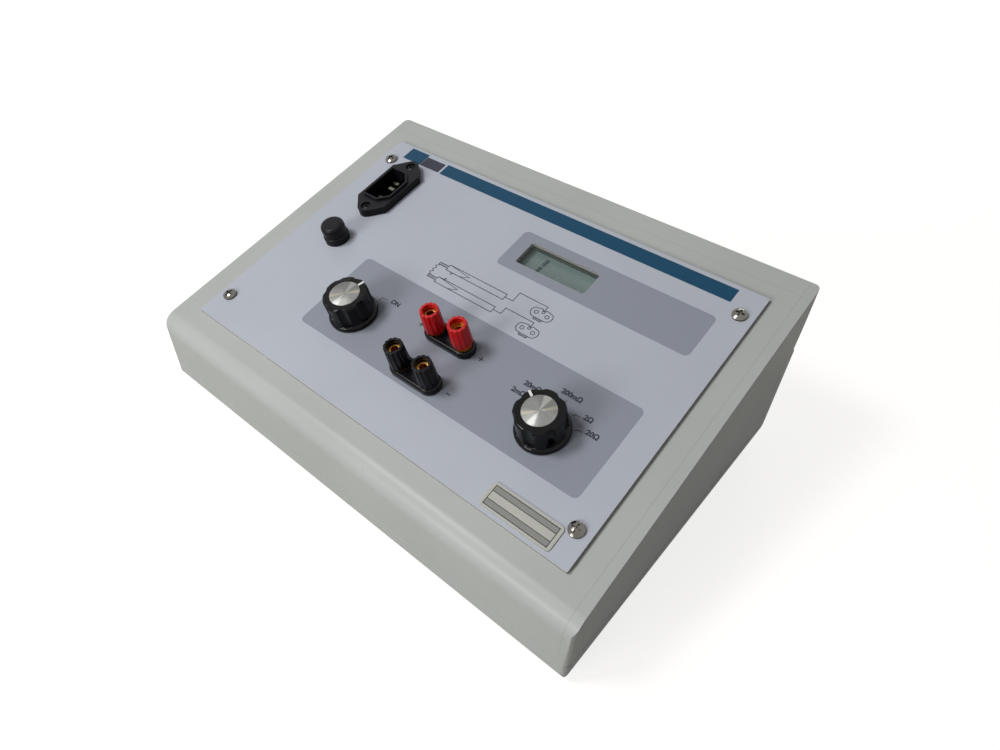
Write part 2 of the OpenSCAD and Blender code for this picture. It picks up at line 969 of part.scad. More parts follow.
// Puts its children at the three blades: earth on the right, line and neutral on the left.
// $tip is the distance of the blade's end below the rim.
module at_blades()
    for (place = [[blade_x, 0, earth_tip], [-blade_x, blade_y, line_tip], [-blade_x, -blade_y, line_tip]])
        translate([place[0], place[1], 0]) {
            $tip = place[2];
            children();
        }

module inlet_body()
    color(black_plastic)
        at_inlet()
            difference() {
                union() {
                    linear_extrude(inlet_t)
                        inlet_outline();
                    translate([0, 0, rim_h - socket_d - inlet_floor_t])
                        linear_extrude(socket_d + inlet_floor_t)
                            offset(r = socket_rim_r)
                                offset(delta = -socket_rim_r)
                                    offset_socket(socket_wall);
                }
                translate([0, 0, rim_h - socket_d])
                    linear_extrude(socket_d + over)
                        offset_socket(0);
                for (side = [-1, 1])
                    translate([0, side * inlet_pitch / 2, 0]) {
                        translate([0, 0, inlet_t - inlet_recess_h])
                            cylinder(r = inlet_head_r + fit_gap, h = inlet_recess_h + over);
                        translate([0, 0, -over])
                            cylinder(r = inlet_screw_r + fit_gap, h = inlet_t + over);
                    }
                at_blades()
                    translate([0, 0, rim_h - socket_d])
                        cube([blade_w + 2 * run_gap, blade_t + 2 * run_gap, 3 * inlet_floor_t],
                            center = true);
            }

module inlet_pins() {
    floor_depth = socket_d + inlet_floor_t - rim_h;
    color(brass)
        at_inlet()
            at_blades() {
                translate([-blade_w / 2, -blade_t / 2, -floor_depth])
                    cube([blade_w, blade_t, floor_depth + rim_h - $tip]);
                translate([-blade_w / 2, -tab_t / 2, -floor_depth - tab_l])
                    cube([blade_w, tab_t, tab_l + over]);
            }
}

module at_inlet_screws()
    at_inlet()
        for (side = [-1, 1])
            translate([0, side * inlet_pitch / 2, 0])
                children();

module inlet_screws()
    color(steel)
        at_inlet_screws()
            translate([0, 0, inlet_t - inlet_recess_h])
                cross_screw(inlet_head_r, inlet_head_h, inlet_screw_r, inlet_screw_l);

module inlet_nuts()
    color(steel)
        at_inlet_screws()
            translate([0, 0, -panel_t - inlet_nut_h])
                hex_nut(inlet_nut_w, inlet_nut_h, inlet_screw_r + run_gap);

// Fuse holder: the cap turns on the fuse's end, and the two pull out together

// Height of the fuse's lower end, below the panel's top face
fuse_foot_z = fuse_flange_h + free_gap - fuse_plug_l + fuse_grip - fuse_l;
barrel_z = fuse_foot_z - free_gap - contact_t - fuse_barrel_end;

module at_fuse()
    on_panel()
        translate([fuse_x, fuse_y, 0])
            children();

module fuse_holder_body()
    color(black_plastic)
        at_fuse()
            difference() {
                union() {
                    soft_cylinder(fuse_flange_r, fuse_flange_h, fuse_edge_r);
                    translate([0, 0, barrel_z])
                        cylinder(r = fuse_barrel_r, h = -barrel_z);
                }
                translate([0, 0, barrel_z + fuse_barrel_end])
                    cylinder(r = fuse_barrel_r - fuse_wall, h = fuse_flange_h - barrel_z);
                translate([0, 0, barrel_z])
                    cube([contact_w + 2 * run_gap, contact_t + 2 * run_gap, 3 * fuse_barrel_end],
                        center = true);
            }

module fuse_holder_nut()
    color(black_plastic)
        at_fuse()
            translate([0, 0, -panel_t - fuse_nut_h])
                hex_nut(fuse_nut_w, fuse_nut_h, fuse_barrel_r + fit_gap);

// Contact disc under the fuse, with its solder tail
module fuse_holder_contacts()
    color(brass)
        at_fuse() {
            translate([0, 0, barrel_z + fuse_barrel_end])
                cylinder(r = fuse_barrel_r - fuse_wall - fit_gap, h = contact_t);
            translate([-contact_w / 2, -contact_t / 2, barrel_z - contact_l])
                cube([contact_w, contact_t, contact_l + fuse_barrel_end + contact_t / 2]);
        }

module fuse_cap() {
    seat_z = fuse_flange_h + free_gap;
    color(black_plastic)
        at_fuse()
            difference() {
                union() {
                    translate([0, 0, seat_z])
                        soft_cylinder(fuse_cap_r, fuse_cap_top - seat_z, fuse_cap_edge_r);
                    translate([0, 0, seat_z - fuse_plug_l])
                        cylinder(r = fuse_plug_r, h = fuse_plug_l + over);
                }
                translate([0, 0, seat_z - fuse_plug_l - over])
                    cylinder(r = fuse_r + run_gap, h = fuse_grip + free_gap + over);
            }
}

module fuse_tube()
    color(clear_tint)
        at_fuse()
            translate([0, 0, fuse_foot_z + fuse_end_t])
                tube(fuse_r - fuse_end_t, fuse_r - 2 * fuse_end_t, fuse_l - 2 * fuse_end_t);

module fuse_ends()
    color(steel)
        at_fuse()
            for (side = [0, 1])
                translate([0, 0, fuse_foot_z + side * fuse_l])
                    mirror([0, 0, side])
                        difference() {
                            cylinder(r = fuse_r, h = fuse_end_l);
                            translate([0, 0, fuse_end_t])
                                cylinder(r = fuse_r - fuse_end_t, h = fuse_end_l);
                        }

// Knobs and rotary switches

module at_knob(x)
    on_panel()
        translate([x, knob_y, 0])
            children();

// Flutes between the lobes, with one lobe centred on the pointer
module knob_flutes(pointer, z, h)
    for (i = [0 : lobes - 1])
        rotate(pointer + (i + 0.5) * 360 / lobes)
            translate([dip_r + flute_r, 0, z])
                cylinder(r = flute_r, h = h);

module knob(pointer) {
    body_h = knob_h - disc_t + disc_sunk;
    difference() {
        union() {
            translate([0, 0, knob_lift])
                soft_cylinder(skirt_r, skirt_h - knob_lift, skirt_edge_r);
            translate([0, 0, knob_lift])
                soft_cylinder(lobe_r, body_h - knob_lift, knob_edge_r);
        }
        knob_flutes(pointer, skirt_h - fit_gap, knob_h);
        translate([0, 0, -over])
            cylinder(r = shaft_r + run_gap, h = shaft_up + run_gap + over);
        translate([0, 0, -over])
            cylinder(r = switch_nut_w / 2 / cos(30) + free_gap, h = bush_h + free_gap + over);
        translate([0, 0, body_h - disc_sunk])
            cylinder(r = disc_r + run_gap, h = disc_sunk + over);
        rotate(pointer + 180)
            translate([0, 0, set_screw_z])
                rotate([0, 90, 0])
                    cylinder(r = set_screw_r + run_gap, h = lobe_r);
    }
}

module knob_disc()
    translate([0, 0, knob_h - disc_t])
        cylinder(r = disc_r, h = disc_t);

module set_screw(pointer)
    rotate(pointer + 180)
        translate([shaft_r + run_gap, 0, set_screw_z])
            rotate([0, 90, 0])
                difference() {
                    cylinder(r = set_screw_r, h = set_screw_l);
                    translate([0, 0, set_screw_l - hex_socket_d])
                        cylinder(r = hex_socket_w / 2 / cos(30), h = hex_socket_d + over, $fn = 6);
                }

module switch_body()
    difference() {
        union() {
            translate([0, 0, -panel_t - can_l])
                cylinder(r = can_r, h = can_l);
            translate([0, 0, -panel_t - over])
                cylinder(r = bush_r, h = panel_t + bush_h + over);
        }
        translate([0, 0, -shaft_in - run_gap])
            cylinder(r = shaft_r + run_gap, h = shaft_in + bush_h + over);
    }

module switch_shaft()
    translate([0, 0, -shaft_in])
        cylinder(r = shaft_r, h = shaft_in + shaft_up);

module switch_nut()
    hex_nut(switch_nut_w, switch_nut_h, bush_r + run_gap);

module terminal_ring(count)
    for (i = [0 : count - 1])
        rotate(i * 360 / count)
            translate([can_r * terminal_ring_share, 0, -panel_t - can_l - terminal_l / 2])
                cube([terminal_t, terminal_w, terminal_l], center = true);

module power_knob() color(black_plastic) at_knob(power_x) knob(power_pointer);
module power_knob_disc() color(aluminium) at_knob(power_x) knob_disc();
module power_set_screw() color(brass) at_knob(power_x) set_screw(power_pointer);
module power_switch_body() color(steel) at_knob(power_x) switch_body();
module power_switch_shaft() color(steel) at_knob(power_x) switch_shaft();
module power_switch_nut() color(steel) at_knob(power_x) switch_nut();
module range_knob() color(black_plastic) at_knob(range_x) knob(range_pointer);
module range_knob_disc() color(aluminium) at_knob(range_x) knob_disc();
module range_set_screw() color(brass) at_knob(range_x) set_screw(range_pointer);
module range_switch_body() color(steel) at_knob(range_x) switch_body();
module range_switch_shaft() color(steel) at_knob(range_x) switch_shaft();
module range_switch_nut() color(steel) at_knob(range_x) switch_nut();

module switch_terminals()
    color(brass) {
        at_knob(power_x) terminal_ring(power_terminals);
        at_knob(range_x) terminal_ring(range_terminals);
    }

// Binding posts

module post_plate(y)
    difference() {
        on_panel()
            translate([posts_x, y, 0])
                soft_bar(base_l, base_w, base_t, base_edge_r);
        at_posts(y)
            translate([0, 0, -over])
                cylinder(r = stud_r + fit_gap, h = base_t + 2 * over);
    }

module red_post_plate() color(red_plastic) post_plate(red_y);
module black_post_plate() color(black_plastic) post_plate(black_y);

module post_studs()
    color(brass)
        for (y = [red_y, black_y])
            at_posts(y)
                difference() {
                    union() {
                        translate([0, 0, -stud_below])
                            cylinder(r = stud_r, h = stud_below + stud_top);
                        translate([0, 0, base_t])
                            cylinder(r = collar_r, h = collar_h);
                    }
                    translate([0, 0, stud_top - bore_l])
                        cylinder(r = bore_r, h = bore_l + over);
                }

module post_tags()
    color(steel)
        for (y = [red_y, black_y])
            at_posts(y)
                translate([0, 0, -panel_t - tag_t])
                    linear_extrude(tag_t)
                        difference() {
                            union() {
                                circle(r = tag_r);
                                translate([-tag_tail_w / 2, 0])
                                    square([tag_tail_w, tag_tail_l]);
                            }
                            circle(r = stud_r + fit_gap);
                        }

module post_nuts()
    color(brass)
        for (y = [red_y, black_y])
            at_posts(y)
                translate([0, 0, -panel_t - tag_t - stud_nut_h])
                    hex_nut(stud_nut_w, stud_nut_h, stud_r + run_gap);

// Fluted cap, hollow for its brass insert, with an open top for the plug
module post_cap()
    difference() {
        intersection() {
            translate([0, 0, cap_z])
                cylinder(r1 = cap_foot_r, r2 = cap_top_r, h = cap_top - cap_z);
            translate([0, 0, cap_z])
                soft_cylinder(cap_foot_r, cap_top - cap_z, cap_edge_r);
        }
        for (i = [0 : cap_flutes - 1])
            rotate((i + 0.5) * 360 / cap_flutes)
                translate([cap_foot_r * cap_flute_share, 0, cap_z])
                    rotate([0, -cap_taper, 0])
                        translate([0, 0, -over])
                            cylinder(r = cap_flute_r, h = cap_top - cap_z + 2 * over);
        translate([0, 0, cap_z - over])
            cylinder(r = insert_flange_r + run_gap, h = insert_flange_h + run_gap + over);
        translate([0, 0, cap_z])
            cylinder(r = insert_r + run_gap, h = insert_l + run_gap);
        translate([0, 0, cap_z])
            cylinder(r = cap_mouth_r, h = cap_top - cap_z + over);
    }

// Brass bush in the foot of a cap, which runs on the stud
module post_insert()
    difference() {
        union() {
            translate([0, 0, cap_z])
                cylinder(r = insert_r, h = insert_l);
            translate([0, 0, cap_z])
                cylinder(r = insert_flange_r, h = insert_flange_h);
        }
        translate([0, 0, cap_z - over])
            cylinder(r = stud_r + run_gap, h = insert_l + 2 * over);
    }

module red_left_cap() color(red_plastic) at_post(-1, red_y) post_cap();
module red_right_cap() color(red_plastic) at_post(1, red_y) translate([0, 0, raised_by]) post_cap();
module black_left_cap() color(black_plastic) at_post(-1, black_y) post_cap();
module black_right_cap() color(black_plastic) at_post(1, black_y) post_cap();
module red_left_insert() color(brass) at_post(-1, red_y) post_insert();
module red_right_insert() color(brass) at_post(1, red_y) translate([0, 0, raised_by]) post_insert();
module black_left_insert() color(brass) at_post(-1, black_y) post_insert();
module black_right_insert() color(brass) at_post(1, black_y) post_insert();

// Main board, on the standoffs of the tray's floor

module on_floor(x, y)
    translate([x, y, floor_z])
        children();

module at_board_screws()
    on_floor(board_x, board_y)
        for (x = [-1, 1])
            for (y = [-1, 1])
                translate([x * (board_w / 2 - board_hole_inset), y * (board_l / 2 - board_hole_inset), 0])
                    children();

module on_board()
    on_floor(board_x, board_y)
        translate([0, 0, standoff_h + board_t])
            children();

module main_board()
    color(board_green)
        difference() {
            on_board()
                translate([-board_w / 2, -board_l / 2, -board_t])
                    cube([board_w, board_l, board_t]);
            at_board_screws()
                cylinder(r = board_screw_r + fit_gap, h = standoff_h + board_t + over);
        }

module board_screws()
    color(steel)
        at_board_screws()
            translate([0, 0, standoff_h + board_t])
                cross_screw(board_head_r, board_head_h, board_screw_r, board_screw_l);

// One chip with a row of legs on each long side, centred over its place on the board
module chip() {
    translate([-chip_l / 2, -chip_w / 2, chip_lift])
        cube([chip_l, chip_w, chip_h]);
    for (side = [-1, 1])
        for (i = [0 : chip_legs - 1])
            translate([(i - (chip_legs - 1) / 2) * chip_leg_pitch, side * chip_w / 2, chip_h / 4])
                cube([chip_leg_w, chip_leg_w, chip_h / 2 + chip_lift / 2], center = true);
}

module board_chips()
    color(black_plastic)
        on_board()
            for (column = [-1, 0, 1])
                for (row = [-1, 0])
                    translate([column * chip_pitch, row * chip_row_y, chip_lift / 4])
                        chip();

module capacitors()
    color([0.12, 0.18, 0.38])
        on_board()
            for (i = [0 : cap_cans - 1])
                translate([cap_row_x + i * cap_can_pitch, cap_row_y, 0])
                    soft_cylinder(cap_can_r, cap_can_h, cap_can_edge_r);

// Transformer, standing on the tray's floor

core_leg = core_w * core_leg_share;

module transformer_core()
    color([0.35, 0.36, 0.38])
        on_floor(transformer_x, transformer_y)
            difference() {
                translate([-core_w / 2, -core_d / 2, bracket_t])
                    cube([core_w, core_d, core_h]);
                for (side = [-1, 1])
                    translate([side * 1.5 * core_leg, 0, bracket_t + core_h / 2])
                        cube([core_leg, core_d + 2 * over, core_h - 2 * core_leg], center = true);
            }

module transformer_coil()
    color(copper_tan)
        on_floor(transformer_x, transformer_y)
            translate([0, 0, bracket_t + core_h / 2])
                difference() {
                    cube([4 * core_leg - 2 * fit_gap, core_d + 2 * coil_over,
                        core_h - 2 * core_leg - 2 * fit_gap], center = true);
                    cube([2 * core_leg + 2 * fit_gap, core_d + 2 * fit_gap, core_h], center = true);
                }

// Strap under the core and over it, with an ear on each side for a screw
module transformer_bracket()
    color(steel)
        on_floor(transformer_x, transformer_y)
            difference() {
                union() {
                    translate([-core_w / 2 - bracket_t - fit_gap, -core_d / 2, 0])
                        cube([core_w + 2 * (bracket_t + fit_gap), core_d, core_h + 2 * bracket_t]);
                    translate([-core_w / 2 - bracket_ear, -core_d / 2, 0])
                        cube([core_w + 2 * bracket_ear, core_d, bracket_t]);
                }
                translate([-core_w / 2 - fit_gap, -core_d / 2 - over, bracket_t])
                    cube([core_w + 2 * fit_gap, core_d + 2 * over, core_h]);
                for (side = [-1, 1])
                    translate([side * bracket_screw_x, 0, -over])
                        cylinder(r = floor_screw_r + fit_gap, h = bracket_t + 2 * over);
            }

// Distance from the transformer's middle to a bracket screw
bracket_screw_x = core_w / 2 + bracket_ear - floor_head_r - floor_screw_r;

// Battery holder: an open trough with a wall between neighbouring cells

cell_z = holder_floor + cell_r;
// Thickness left under the screw heads in the holder's floor
holder_web = holder_floor - floor_head_h - free_gap;
cell_contact_w = cell_r * cell_contact_w_share;
cell_contact_y = (holder_room_l - cell_contact_t) / 2;
// Distance from the holder's middle to a screw in its floor, under the outer cells
holder_screw_x = (cells - 1) / 2 * cell_pitch;

// Puts its children in the middle of every cell's place, at the height of the cells' axes
module at_cells()
    on_floor(holder_x, holder_y)
        for (i = [0 : cells - 1])
            translate([(i - (cells - 1) / 2) * cell_pitch, 0, cell_z])
                mirror([0, i % 2, 0])
                    children();

module battery_holder()
    color(black_plastic)
        difference() {
            on_floor(holder_x, holder_y)
                translate([-holder_w / 2, -holder_l / 2, 0])
                    cube([holder_w, holder_l, cell_z * holder_h_share]);
            at_cells()
                translate([-cell_r - free_gap, -holder_room_l / 2, holder_floor - cell_z])
                    cube([2 * (cell_r + free_gap), holder_room_l, 2 * cell_z]);
            at_holder_screws() {
                translate([0, 0, -over])
                    cylinder(r = floor_screw_r + fit_gap, h = holder_floor + 2 * over);
                translate([0, 0, holder_web])
                    cylinder(r = floor_head_r + free_gap, h = floor_head_h + free_gap + over);
            }
        }

module battery_cells()
    color(copper_tan)
        at_cells()
            translate([0, -cell_l / 2, 0])
                rotate([-90, 0, 0]) {
                    soft_cylinder(cell_r, cell_l - nub_h, cell_edge_r);
                    cylinder(r = cell_r * nub_r_share, h = cell_l);
                }

// A flat contact at each end of each cell
module battery_contacts()
    color(steel)
        at_cells()
            for (side = [-1, 1])
                translate([-cell_contact_w / 2, side * cell_contact_y - cell_contact_t / 2, -cell_r])
                    cube([cell_contact_w, cell_contact_t, cell_r * cell_contact_h_share]);

module at_holder_screws()
    for (side = [-1, 1])
        on_floor(holder_x + side * holder_screw_x, holder_y)
            children();

module at_bracket_screws()
    for (side = [-1, 1])
        on_floor(transformer_x + side * bracket_screw_x, transformer_y)
            children();

module floor_screws()
    color(steel) {
        at_bracket_screws()
            translate([0, 0, bracket_t])
                cross_screw(floor_head_r, floor_head_h, floor_screw_r, bracket_t + floor_grip);
        at_holder_screws()
            translate([0, 0, holder_web])
                cross_screw(floor_head_r, floor_head_h, floor_screw_r, holder_web + floor_grip);
    }

top_cover();
base_tray();
rubber_feet();
case_screws();
front_panel();
panel_screws();
serial_plate();
display_window();
display_frame();
display_glass();
display_contact_strips();
display_board();
display_screws();
inlet_body();
inlet_pins();
inlet_screws();
inlet_nuts();
fuse_holder_body();
fuse_holder_nut();
fuse_holder_contacts();
fuse_cap();
fuse_tube();
fuse_ends();
power_knob();
power_knob_disc();
power_set_screw();
power_switch_body();
power_switch_shaft();
power_switch_nut();
range_knob();
range_knob_disc();
range_set_screw();
range_switch_body();
range_switch_shaft();
range_switch_nut();
switch_terminals();
red_post_plate();
black_post_plate();
post_studs();
post_nuts();
post_tags();
red_left_cap();
red_right_cap();
black_left_cap();
black_right_cap();
red_left_insert();
red_right_insert();
black_left_insert();
black_right_insert();
main_board();
board_screws();
board_chips();
capacitors();
transformer_core();
transformer_coil();
transformer_bracket();
battery_holder();
battery_cells();
battery_contacts();
floor_screws();
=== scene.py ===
from math import atan2, cos, pi, radians, sin

import bmesh
import bpy
from bpy.props import FloatProperty, FloatVectorProperty, PointerProperty
from mathutils import Matrix, Vector


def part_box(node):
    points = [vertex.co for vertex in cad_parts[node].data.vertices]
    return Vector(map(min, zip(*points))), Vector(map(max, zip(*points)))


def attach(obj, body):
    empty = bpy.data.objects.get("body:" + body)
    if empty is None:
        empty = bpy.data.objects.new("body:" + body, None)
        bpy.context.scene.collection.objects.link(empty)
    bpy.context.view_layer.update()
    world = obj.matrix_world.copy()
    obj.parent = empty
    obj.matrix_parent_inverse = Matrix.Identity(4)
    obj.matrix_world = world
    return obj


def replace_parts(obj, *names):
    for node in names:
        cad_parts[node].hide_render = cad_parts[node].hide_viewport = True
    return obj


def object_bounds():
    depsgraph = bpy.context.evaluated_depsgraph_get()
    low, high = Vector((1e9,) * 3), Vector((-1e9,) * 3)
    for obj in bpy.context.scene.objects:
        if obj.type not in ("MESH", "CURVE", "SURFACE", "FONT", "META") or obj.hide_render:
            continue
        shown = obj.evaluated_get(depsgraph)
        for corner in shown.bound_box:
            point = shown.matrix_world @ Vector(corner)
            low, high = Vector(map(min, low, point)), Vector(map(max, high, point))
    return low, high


bl_info = {
    "name": "Bench ohmmeter",
    "version": (1, 0, 0),
    "blender": (4, 5, 0),
    "location": "View3D > Sidebar > Ohmmeter",
    "description": "Dresses the bench ohmmeter's solids with rounded edges, print and finishes",
    "category": "Object",
}

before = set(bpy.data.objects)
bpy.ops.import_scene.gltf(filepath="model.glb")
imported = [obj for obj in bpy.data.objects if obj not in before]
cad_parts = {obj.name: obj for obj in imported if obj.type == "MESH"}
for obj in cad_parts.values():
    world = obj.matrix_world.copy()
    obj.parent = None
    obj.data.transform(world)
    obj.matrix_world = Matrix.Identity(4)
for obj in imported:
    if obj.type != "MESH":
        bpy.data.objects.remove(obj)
CAD_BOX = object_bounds()

MM = 0.001

# The panel's own frame: x right, y up the slope, z = 0 on the panel's top face
TILT = radians(17)
PANEL_MIDDLE = (0, -3.5 * MM, 74.54 * MM)
PANEL = Matrix.Translation(PANEL_MIDDLE) @ Matrix.Rotation(TILT, 4, "X")

# Half of the case's width, and its front and back, as the solids have them
CASE_SIDE = CAD_BOX[1].x
CASE_FRONT = CAD_BOX[0].y
CASE_BACK = CAD_BOX[1].y


def screen(red, green, blue):
    """A colour as it looks on a screen, 0 to 255, in Blender's linear values."""
    return tuple(((level / 255 + 0.055) / 1.055) ** 2.4 for level in (red, green, blue))


# Sizes and colours that a user may change


def length(name, description, default):
    return FloatProperty(
        name=name,
        description=description,
        default=default,
        min=0,
        subtype="DISTANCE",
        unit="LENGTH",
    )


def colour(name, description, default):
    return FloatVectorProperty(
        name=name, description=description, default=default, size=3, min=0, max=1, subtype="COLOR"
    )


class OHM_PG_sizes(bpy.types.PropertyGroup):
    """Roundings of the edges and sizes of the print"""

    cover_edge: length("Cover edge", "Rounding of the cover's side edges", 1.1 * MM)
    rim_edge: length("Rim edge", "Rounding of the rims at the seam", 0.35 * MM)
    tray_edge: length("Tray edge", "Rounding of the tray's upper edges", 0.4 * MM)
    tray_bottom: length("Tray bottom", "Rounding of the tray's bottom edges", 1.8 * MM)
    plate_edge: length("Plate edge", "Rounding of the front panel's edges", 0.3 * MM)
    knob_edge: length("Knob edge", "Rounding of the knobs' flutes and rims", 0.35 * MM)
    post_edge: length("Post edge", "Rounding of the binding posts' caps and plates", 0.3 * MM)
    inlet_edge: length("Inlet edge", "Rounding of the inlet's edges", 0.4 * MM)
    print_thickness: length("Print thickness", "How far the printed ink stands up", 0.05 * MM)
    stroke: length("Stroke", "Width of the printed lines", 0.35 * MM)
    digit_height: length("Digit height", "Height of the numbers at the range knob", 2.75 * MM)


class OHM_PG_colours(bpy.types.PropertyGroup):
    """Colours of the pieces and the print"""

    case: colour("Case", "Moulded case", screen(171, 174, 171))
    panel: colour("Panel", "Paint of the front panel", screen(173, 177, 186))
    field: colour("Field", "Printed fields behind the knobs and the display", screen(137, 141, 151))
    stripe: colour("Stripe", "Printed stripe along the panel's top", screen(4, 62, 90))
    ink: colour("Ink", "Printed lines and numbers", screen(50, 52, 62))
    knob: colour("Knob", "Glossy knobs", screen(9, 9, 11))
    black: colour("Black plastic", "Inlet, fuse holder and black posts", screen(15, 15, 19))
    red: colour("Red plastic", "Caps of the red posts", screen(186, 16, 20))
    brass: colour("Brass", "Studs and inserts", screen(226, 170, 84))
    display: colour("Display", "Unlit liquid crystal display", screen(96, 113, 110))
    board: colour("Board", "Circuit boards", screen(26, 84, 50))


# Shader building


class Wire:
    """A socket that takes part in arithmetic, one Math node for each operator."""

    def __init__(self, nodes, socket):
        self.nodes = nodes
        self.socket = socket

    def math(self, operation, *others):
        values = dict(enumerate([self, *others]))
        return self.nodes.add("Math", {"operation": operation}, values)

    def __add__(self, other):
        return self.math("ADD", other)

    __radd__ = __add__

    def __mul__(self, other):
        return self.math("MULTIPLY", other)

    def __sub__(self, other):
        return self.math("SUBTRACT", other)

    def __rsub__(self, other):
        return self.nodes.add("Math", {"operation": "SUBTRACT"}, {0: other, 1: self})

    def __abs__(self):
        return self.math("ABSOLUTE")

    def larger(self, other):
        return self.math("MAXIMUM", other)

    def rise(self, start, end):
        """0 below start, 1 above end, and a smooth rise between them."""
        return self.nodes.add(
            "MapRange",
            {"interpolation_type": "SMOOTHSTEP"},
            {"Value": self, "From Min": start, "From Max": end},
        )

    def near(self, centre, half_width, softness):
        """1 within half_width of centre, falling to 0 over softness."""
        return 1 - abs(self - centre).rise(half_width, half_width + softness)


class Nodes:
    """A node tree and the few calls that build it."""

    def __init__(self, tree):
        self.tree = tree

    def add(self, kind, settings, inputs, output=0):
        """Adds a node with its settings and the values or links of its sockets."""
        node = self.tree.nodes.new("ShaderNode" + kind)
        for name, value in settings.items():
            setattr(node, name, value)
        for key, value in inputs.items():
            self.feed(node.inputs[key], value)
        return Wire(self, node.outputs[output])

    def feed(self, socket, value):
        if isinstance(value, Wire):
            self.tree.links.new(value.socket, socket)
        elif isinstance(value, tuple) and socket.type == "RGBA":
            socket.default_value = (*value[:3], 1)
        else:
            socket.default_value = value


class Paint(Nodes):
    """One node material."""

    def __init__(self, name):
        self.material = bpy.data.materials.new(name)
        self.material.use_nodes = True
        super().__init__(self.material.node_tree)
        self.shader = self.tree.nodes["Principled BSDF"]

    def set(self, **values):
        """Sets the shader's sockets, with underscores for the spaces in their names."""
        for name, value in values.items():
            self.feed(self.shader.inputs[name.replace("_", " ")], value)

    def place(self):
        return self.add("TexCoord", {}, {}, "Object")

    def place_from(self, origin):
        """Object coordinates measured from a matrix's place and along its axes."""
        back = origin.inverted()
        moves = {"Location": back.to_translation(), "Rotation": back.to_euler()}
        return self.add("Mapping", {"vector_type": "POINT"}, {"Vector": self.place(), **moves})

    def stretched(self, scales):
        """Object coordinates, each multiplied by its own scale."""
        return self.add("VectorMath", {"operation": "MULTIPLY"}, {0: self.place(), 1: scales})

    def axes(self, place=None):
        """The place's x, y and z as wires."""
        source = place or self.place()
        first = self.add("SeparateXYZ", {}, {"Vector": source})
        outputs = first.socket.node.outputs
        return [Wire(self, outputs[axis]) for axis in "XYZ"]

    def noise(self, scale, detail=2.0, place=None):
        source = place or self.place()
        return self.add("TexNoise", {}, {"Vector": source, "Scale": scale, "Detail": detail})

    def cells(self, scale):
        """The distance to the middle of the nearest of many scattered cells."""
        return self.add("TexVoronoi", {}, {"Vector": self.place(), "Scale": scale})

    def mix(self, share, first, second):
        """Two colours mixed: the first at share 0 and the second at share 1."""
        return self.add("Mix", {"data_type": "RGBA"}, {0: share, 6: first, 7: second}, 2)

    def bump(self, height, distance):
        """Gives the shader a bump and returns the finished paint."""
        self.set(Normal=self.add("Bump", {}, {"Height": height, "Distance": distance}))
        return self


def shade(tone, factor):
    """A colour made lighter or darker by a factor."""
    return tuple(min(1, level * factor) for level in tone)


# Finishes


def plastic(name, tone, roughness=0.45, grain=2600, depth=0.012 * MM, shine=0.2):
    """Moulded plastic: fine grain, slight clouds in its colour and its gloss."""
    paint = Paint(name)
    mottle = 0.06
    clouds = paint.noise(28, 4).rise(0.3, 0.7)
    fine = paint.noise(grain, 2)
    paint.set(
        Base_Color=paint.mix(clouds, shade(tone, 1 - mottle), shade(tone, 1 + mottle)),
        Roughness=roughness - 0.05 + fine * 0.1,
        Specular_IOR_Level=shine,
    )
    return paint.bump(fine, depth)


def metal(name, tone, roughness):
    """Bright metal with fine scratches and slight stains."""
    paint = Paint(name)
    stains = paint.noise(160, 3).rise(0.35, 0.7)
    fine = paint.noise(900, 4)
    paint.set(
        Metallic=1.0,
        Base_Color=paint.mix(stains, tone, shade(tone, 0.82)),
        Roughness=roughness - 0.06 + fine * 0.12,
    )
    return paint.bump(fine, 0.004 * MM)


def case_finish(name, tone):
    """Fine grained moulding, a little scuffed, with faint lines near the sides and the back."""
    paint = Paint(name)
    x, _, z = paint.axes()
    up = paint.axes(paint.place_from(PANEL))[1]
    side_inset, back_line, seam_height = 5 * MM, 94.7 * MM, 16.5 * MM
    width, soft = 0.12 * MM, 0.2 * MM
    side = abs(x).near(CASE_SIDE - side_inset, width, soft)
    back = up.near(back_line, width, soft)
    lines = side.larger(back) * z.rise(seam_height, seam_height + 2 * MM)
    clouds = paint.noise(14, 5).rise(0.3, 0.72)
    dust = paint.noise(900, 3).rise(0.68, 0.78)
    specks = (1 - paint.cells(60).rise(0.012, 0.026)) * paint.noise(31, 0).rise(0.5, 0.52)
    scuffs = paint.noise(1, 5, paint.stretched((18, 90, 620))).rise(0.66, 0.74)
    fine = paint.noise(3200, 2)
    body = paint.mix(clouds, shade(tone, 0.965), shade(tone, 1.03))
    body = paint.mix(dust * 0.16, body, shade(tone, 0.5))
    body = paint.mix(scuffs * 0.2, body, shade(tone, 0.68))
    body = paint.mix(specks * 0.8, body, screen(66, 64, 60))
    body = paint.mix(lines * 0.22, body, shade(tone, 0.55))
    gloss = 0.3 + fine * 0.1 + scuffs * 0.15
    paint.set(Base_Color=body, Roughness=gloss, Specular_IOR_Level=0.2)
    return paint.bump(fine * 0.3 - lines - scuffs * 0.3, 0.03 * MM)


def panel_finish(name, tone, edge_tone):
    """Smooth paint with very fine orange peel and a few rubs, over a bare cut edge."""
    paint = Paint(name)
    depth = 0 - paint.axes(paint.place_from(PANEL))[2]
    clouds = paint.noise(22, 4).rise(0.3, 0.7)
    rubs = paint.noise(150, 6).rise(0.66, 0.8)
    peel = paint.noise(1100, 2)
    body = paint.mix(clouds, shade(tone, 0.975), shade(tone, 1.02))
    body = paint.mix(rubs * 0.2, body, shade(tone, 0.86))
    body = paint.mix(depth.rise(0.12 * MM, 0.3 * MM), body, edge_tone)
    gloss = 0.36 + rubs * 0.1 + peel * 0.06
    paint.set(Base_Color=body, Roughness=gloss, Specular_IOR_Level=0.3)
    return paint.bump(peel, 0.008 * MM)


